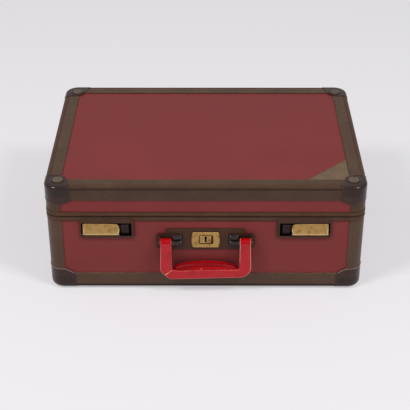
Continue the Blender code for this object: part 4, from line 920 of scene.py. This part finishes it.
def handle_edges():
    """Outer and inner edge of the handle seen from the front, matched point by point: down the left arm,
    round the corner, along the bar and up the right arm. The left corner is cut off straight, the right one
    is rounder, and the bar's lower edge climbs to the right."""
    arm_top = PIN_Z - 3.6
    reach, inner = HANDLE_X, HANDLE_X - ARM
    low, low_right = HANDLE_LOW - 0.6, HANDLE_LOW + 2.5
    sag = BAR_TOP - 1.3
    outer = [[(-reach, arm_top), (-reach - 1.0, low + 19)],
             [(-reach - 1.0, low + 19), (-reach - 1.0, low + 15.5), (-reach + 2.5, low + 10),
              (-reach + 6.8, low + 5.6), (-reach + 10.8, low + 1.2), (-reach + 14, low + 0.1),
              (-reach + 17, low)],
             [(-reach + 17, low), (reach - 15, low_right)],
             [(reach - 15, low_right), (reach - 10.5, low_right + 0.3), (reach - 4.8, low_right + 4.0),
              (reach - 0.8, low_right + 8.8), (reach + 1.0, low_right + 15), (reach + 1.0, low_right + 20)],
             [(reach + 1.0, low_right + 20), (reach, arm_top)]]
    inner_line = [[(-inner, arm_top), (-inner, sag + 6)],
                  [(-inner, sag + 6), (-inner, sag + 1), (-inner + 1.2, sag), (-inner + 4.4, sag)],
                  [(-inner + 4.4, sag), (-inner + 9, sag - 0.9), (-20, sag + 0.2), (0, BAR_TOP - 0.4),
                   (20, BAR_TOP + 0.2), (inner - 4.4, BAR_TOP)],
                  [(inner - 4.4, BAR_TOP), (inner - 1.2, BAR_TOP), (inner, BAR_TOP + 1),
                   (inner, BAR_TOP + 6)],
                  [(inner, BAR_TOP + 6), (inner, arm_top)]]
    counts = (40, 26, 80, 26, 40)
    lines = []
    for edge in (outer, inner_line):
        runs = [resampled(softened(np.array(part, float)), count + 1)[:-1]
                for part, count in zip(edge, counts)]
        lines.append(np.concatenate(runs + [np.array(edge[-1][-1:], float)]))
    return lines


def make_handle():
    """The strap: a rounded section between the two edges, crowned in front and grooved along its sides. Each
    arm ends in a collar that laps over its front, and a loop of fresher hide goes round the pin."""
    outer, inner = handle_edges()
    half = (STRAP_BACK - STRAP_FRONT) / 2
    middle = (STRAP_BACK + STRAP_FRONT) / 2
    section = rounded_box_profile(0.0, 1.0, -1.0, 1.0, 0.16, 5, 17)
    share = section[:, 0]
    depth = section[:, 1]
    crown = np.where(depth < -0.8, -0.06 * np.sin(math.pi * np.clip(share, 0, 1)), 0)
    groove = 0.022 * np.exp(-(depth / 0.16) ** 2)
    share = np.where(share < 0.02, share + groove, np.where(share > 0.98, share - groove, share))
    flat = inner[:, None, :] + (outer - inner)[:, None, :] * share[None, :, None]
    y = np.broadcast_to(middle + half * (depth + crown), flat.shape[:2])
    points = np.stack([flat[..., 0], y, flat[..., 1]], axis=-1)
    at = np.arange(len(outer))
    width = np.linalg.norm(outer - inner, axis=1)[:, None]
    right = np.clip((at - 106) / 60, 0, 1)[:, None]
    outer_rub = np.exp(-(1 - share) * width / 1.5) * (1.2 + 0.2 * right)
    inner_rub = np.exp(-share * width / 1.2) * (0.9 + 0.5 * np.clip((at - 175) / 10, 0, 1))[:, None]
    front = np.clip(-depth, 0, 1)[None, :]
    wear_and_painted_light = np.maximum(outer_rub, inner_rub) * (0.25 + 0.75 * front)
    mitre_left = np.exp(-((at - 53) / 1.3) ** 2) * 1.3
    mitre_right = np.exp(-((at - 159) / 1.2) ** 2) * 0.5
    seam = (mitre_left + mitre_right)[:, None] * np.clip(front * 1.5, 0, 1)
    points[..., 1] += seam * 0.35
    ends = np.clip(np.minimum(at, at[::-1]) / 3.0, 0, 1)
    points[..., 1] = middle + (points[..., 1] - middle) * (0.86 + 0.14 * np.sqrt(ends))[:, None]
    along_bar = np.clip(np.minimum(at - 56, 156 - at) / 30, 0, 1)[:, None] * np.clip(front * 1.5, 0, 1)
    wear_and_painted_light = np.maximum(np.maximum(wear_and_painted_light, seam), 0.5 * along_bar)
    build("leather_handle_strap", [patch(points, False, True, True, True, wear_and_painted_light=wear_and_painted_light)], "handle", red_hide,
          ("handle_strap",), sharp=55)
    for side, name in ((-1, "left"), (1, "right")):
        x_in, x_out = HANDLE_X - ARM + 0.15, HANDLE_X - 0.15
        from_edge = np.array([0, 0.25, 0.8, 1.6])
        across = np.concatenate([x_in + from_edge, x_out - from_edge[::-1]])
        drop = np.array([0.75, 0.2, 0.0, 0.0, 0.0, 0.0, 0.2, 0.75])
        tan = np.array([0.5, 0.8, 0.5, 0, 0, 0.5, 0.8, 0.5]) * (1.6 if side > 0 else 1.05)
        tube = np.stack([np.concatenate([6.35 - drop, [3.2, 3.2]]),
                         side * np.concatenate([across, [x_out, x_in]])], axis=-1)
        loop = turned(tube, (0, PIN_Y, PIN_Z), 56, axis=0)
        surface_marks = np.concatenate([tan, [0, 0]])[:, None] * np.ones(56) - 0.12
        build("leather_handle_loop_" + name, [patch(loop, True, True, wear_and_painted_light=surface_marks)], "handle", grip_hide,
              ("handle_strap",), sharp=50)
        lap = np.radians(np.linspace(12, -38, 9))
        outside = np.stack([-6.85 * np.cos(lap), 6.85 * np.sin(lap)], axis=-1)
        outside = np.concatenate([outside[outside[:, 0] < -6.3], [(-6.45, -4.6), (-6.4, -5.6), (-6.3, -6.2)]])
        within = outside[::-1] * (0.9, 1) + (0.05, 0)
        lap_line = np.concatenate([outside, within])
        rows = np.stack([np.broadcast_to(side * across[:, None], (8, len(lap_line))),
                         PIN_Y + lap_line[None, :, 0] + drop[:, None] * 0.6,
                         np.broadcast_to(PIN_Z + lap_line[None, :, 1], (8, len(lap_line)))], axis=-1)
        ends = np.exp(-np.abs(lap_line[:, 1] + 6.2) / 0.5) * 0.7
        surface_marks = np.maximum(tan[:, None], ends[None, :]) * np.ones(rows.shape[:2])
        build("leather_handle_lap_" + name, [patch(rows, False, True, True, True, wear_and_painted_light=surface_marks)], "handle",
              red_hide, ("handle_strap",), sharp=50)


def make_grip():
    """The padded crescent behind and above the bar: oval sections along X, pressed flat against the strap's
    back and closed to a point at both ends. A crease runs in an arc over its front, and one short seam
    crosses below it."""
    t = np.linspace(-1, 1, 141)
    reach = 47.6
    x = reach * np.sin(t * math.pi / 2)
    bow = 1 - (x / reach) ** 2
    share = np.sqrt(np.clip(bow, 0, 1))
    angle = np.linspace(0, 2 * math.pi, 96, endpoint=False)
    bar_top = BAR_TOP - 1.2 + 1.2 * x / reach + 0.8 * bow
    crest = HANDLE_LOW + 16.6 + 9.6 * bow ** 0.8
    foot = HANDLE_LOW + 6.8
    close = np.clip(share * 2.6, 0, 1)
    mid_z = (crest + foot) / 2
    half_z = (crest - foot) / 2 * close
    mid_y = PIN_Y + 1.3 + (1 - share) * 1.2
    half_y = (3.8 + 3.5 * share) * close
    cos, sin = np.cos(angle), np.sin(angle)
    round_cos = np.sign(cos) * np.abs(cos) ** 0.85
    round_sin = np.sign(sin) * np.abs(sin) ** 0.95
    y = mid_y[:, None] + half_y[:, None] * round_cos[None, :]
    z = mid_z[:, None] + half_z[:, None] * round_sin[None, :]
    low_part = np.clip((bar_top[:, None] + 0.5 - z) / 0.8, 0, 1)
    y = np.where(y < STRAP_BACK + 0.3, y + (STRAP_BACK + 0.3 - y) * low_part, y)
    front = np.clip((mid_y[:, None] - y) / 2, 0, 1)
    fold_z = bar_top + 4.0 * np.clip(1 - ((x - 5) / 38) ** 2, -0.2, 1)
    away = z - fold_z[:, None]
    inside = np.clip(share * 2 - 0.7, 0, 1)[:, None]
    y = y + front * inside * (0.55 * np.exp(-(away / 0.5) ** 2) - 0.35 * np.exp(-((away + 1.2) / 0.8) ** 2))
    pleats = 0.10 * np.sin(x / 2.3 + 0.6 * np.sin(x / 5))[:, None] * front * inside
    points = np.stack([np.broadcast_to(x[:, None], y.shape), y + pleats, z], axis=-1)
    tick = np.exp(-((x + 6.2) / 0.45) ** 2)[:, None] * front * (away < -0.3)
    lip = 0.55 * np.exp(-((away + 0.9) / 0.4) ** 2) * front * inside
    # The upper part of the front is darkened: painted shade.
    shade = 0.75 * np.clip((away - 0.6) / 1.6, 0, 1) * front
    surface_marks = np.maximum(tick * 1.3, lip) - shade
    piece = build("leather_handle_grip", [patch(points, False, True, wear_and_painted_light=surface_marks)], "handle",
                  grip_hide, ("handle_grip",))


# Patch on the front right corner of the top panel

def make_corner_patch():
    """A thin leather triangle: rows from the corner to the slanting edge, which is a little uneven."""
    low, high = corners_of("corner_patch")
    corner = np.array([high[0], low[1]])
    along = np.array([low[0], low[1]])
    back = np.array([high[0], high[1]])
    u = np.linspace(0, 1, 60)
    v = np.linspace(0, 1, 24)
    slant = along + (back - along) * u[:, None]
    inward = np.array([1.0, -1.0]) / math.sqrt(2)
    wobble = 0.5 * np.sin(u * 19) * np.sin(math.pi * u) + 0.35 * np.sin(u * 47 + 1) * np.sin(math.pi * u)
    slant = slant + inward * np.abs(wobble)[:, None]
    flat = corner + (slant - corner)[None, :, :] * v[:, None, None]
    edge = np.minimum(1 - v[:, None], np.minimum(u, 1 - u)[None, :] * 3)
    z = low[2] + 0.12 + 0.38 * np.clip(edge * 24, 0, 1) ** 0.5
    points = np.concatenate([flat, np.broadcast_to(z, flat.shape[:2])[..., None]], axis=-1)
    build("leather_corner_patch", [patch(points)], "lid", skiver, ("corner_patch",),
          inside=(150, -100, 0), wall=0.2)


make_side_binding("lid")
make_side_binding("base")
make_flat_binding("lid_top_binding", "lid", False)
make_flat_binding("base_bottom_binding", "base", True)
make_bead("lid")
make_bead("base")
make_corner_pieces()
make_hasp("left", -1)
make_hasp("right", 1)
make_handle()
make_grip()
make_corner_patch()

make_rim("lid")
make_rim("base")


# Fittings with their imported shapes, some moved a little to match the photograph

def raised_border(at):
    """A latch frame's lower border sits 1.4 mm higher in the photograph, and the recess above it 0.8 mm."""
    low = corners_of("latch_frame_left")[0][2]
    at[:, 2] += np.interp(at[:, 2], [low, low + 4.3, low + 15], [1.4, 0.8, 0.0])
    return at


def squared_plate(at):
    """The lock plate is 3.5 percent less high than packed, 0.45 mm higher up, and its corners are drawn
    out."""
    low, high = corners_of("lock_plate")
    middle = (low + high) / 2
    half_w, half_h = (high - low)[[0, 2]] / 2 - (1.1, 0)
    across, up = at[:, 0] - middle[0], at[:, 2] - middle[2]
    in_x, in_z = np.abs(across) - (half_w - 3), np.abs(up) - (half_h - 3)
    corner = (in_x > 0) & (in_z > 0)
    turn = np.arctan2(in_z, in_x)
    grow = np.where(corner, 0.26 * np.sin(2 * turn) ** 2 * np.clip(np.hypot(in_x, in_z) / 3, 0, 1), 0)
    at[:, 0] += np.sign(across) * in_x * grow
    at[:, 2] += np.sign(up) * in_z * grow
    at[:, 2] = middle[2] + 0.45 + (at[:, 2] - middle[2]) * 0.965
    return at


lock_middle = sum(corners_of("lock_plate"))[2] / 2


def slimmed_slide(at):
    """The slide is 0.35 mm smaller all round than packed, which leaves the dark line round it in its window,
    and its keyhole is a little larger."""
    low, high = at.min(axis=0), at.max(axis=0)
    middle = (low + high) / 2
    at[:, [0, 2]] = middle[[0, 2]] + (at[:, [0, 2]] - middle[[0, 2]]) * (1 - 0.7 / (high - low)[[0, 2]])
    hole = np.abs(at[:, 0] - 0.2) < 2.3
    hole_middle = (at[hole].min(axis=0) + at[hole].max(axis=0)) / 2
    at[hole] = hole_middle + (at[hole] - hole_middle) * (1.3, 1, 1.2)
    return at


for side_name in ("left", "right"):
    frame_piece = dressed("latch_frame_" + side_name, frame_lacquer, 0.22)
    # The recess inside the frame is painted black: painted shade.
    repainted(frame_piece, shadow_lacquer, lambda at, normal: at[:, 1] > FRONT - 1.4)
    reshaped(frame_piece, raised_border)
    reshaped(dressed("slider_" + side_name, slider_lacquer, 0.2), raised_border)
    bracket = dressed("handle_bracket_" + side_name, bracket_lacquer, 0.15)
    repainted(bracket, flange_lacquer, lambda at, normal: np.abs(at[:, 0]) < HANDLE_X)
    repainted(bracket, rib_lacquer,
              lambda at, normal: (at[:, 1] < FRONT - 2.1) & (np.abs(at[:, 0]) < HANDLE_X - 2))
    for leaf in ("base_hinge_leaf_", "lid_hinge_leaf_"):
        dressed(leaf + side_name, steel, 0.15)
    for fitting in ("hinge_pin_", "hasp_pin_", "handle_pin_", "striker_"):
        dressed(fitting + side_name, steel, 0.1)
dressed("lock_backing_plate", frame_lacquer, 0.25)
lock_plate = dressed("lock_plate", brass, 0.2)
# The walls of the window round the slide are painted black: a painted shadow line round the slide.
repainted(lock_plate, shadow_lacquer, lambda at, normal: (np.abs(at[:, 0]) < 13) & (
    np.abs(at[:, 2] - lock_middle) < 7.2) & (np.abs(normal[:, 1]) < 0.9))
lock_slide = dressed("lock_slide", brass)
plate_back = corners_of("lock_plate")[1][1]
# The slide's tail behind the plate is brass painted in shade, and its side walls are painted black as shade.
repainted(lock_slide, shaded_brass, lambda at, normal: at[:, 1] > plate_back - 0.2)
repainted(lock_slide, shadow_lacquer, lambda at, normal: np.abs(normal[:, 1]) < 0.5)
for piece in (lock_plate, lock_slide):
    reshaped(piece, squared_plate)
reshaped(lock_slide, slimmed_slide)
dressed("lock_case", black_steel, 0.1)
for node_name in ("lock_bolt", "lock_staple"):
    dressed(node_name, steel, 0.1)


# Floor, light and camera

def seen_rays(tree):
    """1 for camera, glossy and transmission rays and 0 for every other ray."""
    rays = add(tree, "ShaderNodeLightPath").outputs
    bent = math_node(tree, "MAXIMUM", rays["Is Glossy Ray"], rays["Is Transmission Ray"])
    return math_node(tree, "MAXIMUM", rays["Is Camera Ray"], bent)


def make_stage():
    """A pale floor that stays pale in the camera, an even sky and a soft lamp on either side of the front."""
    floor = placed("floor", bpy.data.meshes.new("floor"))
    size = 6.0
    floor.data.from_pydata([(-size, -size, 0), (size, -size, 0), (size, size, 0), (-size, size, 0)], [],
                           [(0, 1, 2, 3)])
    material = bpy.data.materials.new("pale_paper")
    material.use_nodes = True
    tree = material.node_tree
    shader = tree.nodes["Principled BSDF"]
    settle(tree, shader, "#f3f1f4", 0.85)
    paper = add(tree, "ShaderNodeEmission", {"Color": linear("#dedce0"), "Strength": 1.0}).outputs[0]
    share = math_node(tree, "MULTIPLY", seen_rays(tree), 0.6)
    mixed = add(tree, "ShaderNodeMixShader", None, {0: share, 1: shader.outputs[0], 2: paper})
    tree.links.new(mixed.outputs[0], tree.nodes["Material Output"].inputs["Surface"])
    floor.data.materials.append(material)
    world = bpy.data.worlds.new("studio")
    bpy.context.scene.world = world
    world.use_nodes = True
    tree = world.node_tree
    sky = tree.nodes["Background"]
    sky.inputs["Color"].default_value = linear("#f4f2f6")
    strength = math_node(tree, "ADD", math_node(tree, "MULTIPLY", seen_rays(tree), 0.16), 0.48)
    tree.links.new(strength, sky.inputs["Strength"])
    for name, side, power in (("left_lamp", -1, 37.0), ("right_lamp", 1, 34.5)):
        place = (side * 1.4, -1.1, 2.15)
        data = bpy.data.lights.new(name, "AREA")
        data.energy = power
        data.size = 0.6
        data.color = linear("#fffdfa")[:3]
        lamp = placed(name, data)
        lamp.location = place
        lamp.rotation_euler = (Vector((0, 0, 0.08)) - Vector(place)).to_track_quat("-Z", "Y").to_euler()


def make_camera():
    """The photograph's camera, fitted to the case's edges. Angles are in radians."""
    focal_px, frame_px, sensor_mm = 1118.615, 410, 36.0
    pitch, yaw, roll = 0.5537278, -0.0034265, 0.0010096
    place = Vector((3.754, -1516.385 + CASE_Y, 980.793 + LOW)) * MM
    forward = Vector((math.sin(yaw) * math.cos(pitch), math.cos(yaw) * math.cos(pitch), -math.sin(pitch)))
    right = Vector((math.cos(yaw), -math.sin(yaw), 0))
    down = forward.cross(right)
    turned_right = math.cos(roll) * right + math.sin(roll) * down
    turned_down = math.cos(roll) * down - math.sin(roll) * right
    data = bpy.data.cameras.new("camera")
    data.sensor_width = sensor_mm
    data.lens = sensor_mm * focal_px / frame_px
    data.clip_start, data.clip_end = 0.05, 50
    camera = placed("camera", data)
    axes = Matrix((turned_right, -turned_down, -forward)).transposed()
    camera.matrix_world = Matrix.Translation(place) @ axes.to_4x4()
    bpy.context.scene.camera = camera


make_stage()
make_camera()
bpy.context.scene.view_settings.view_transform = "Standard"
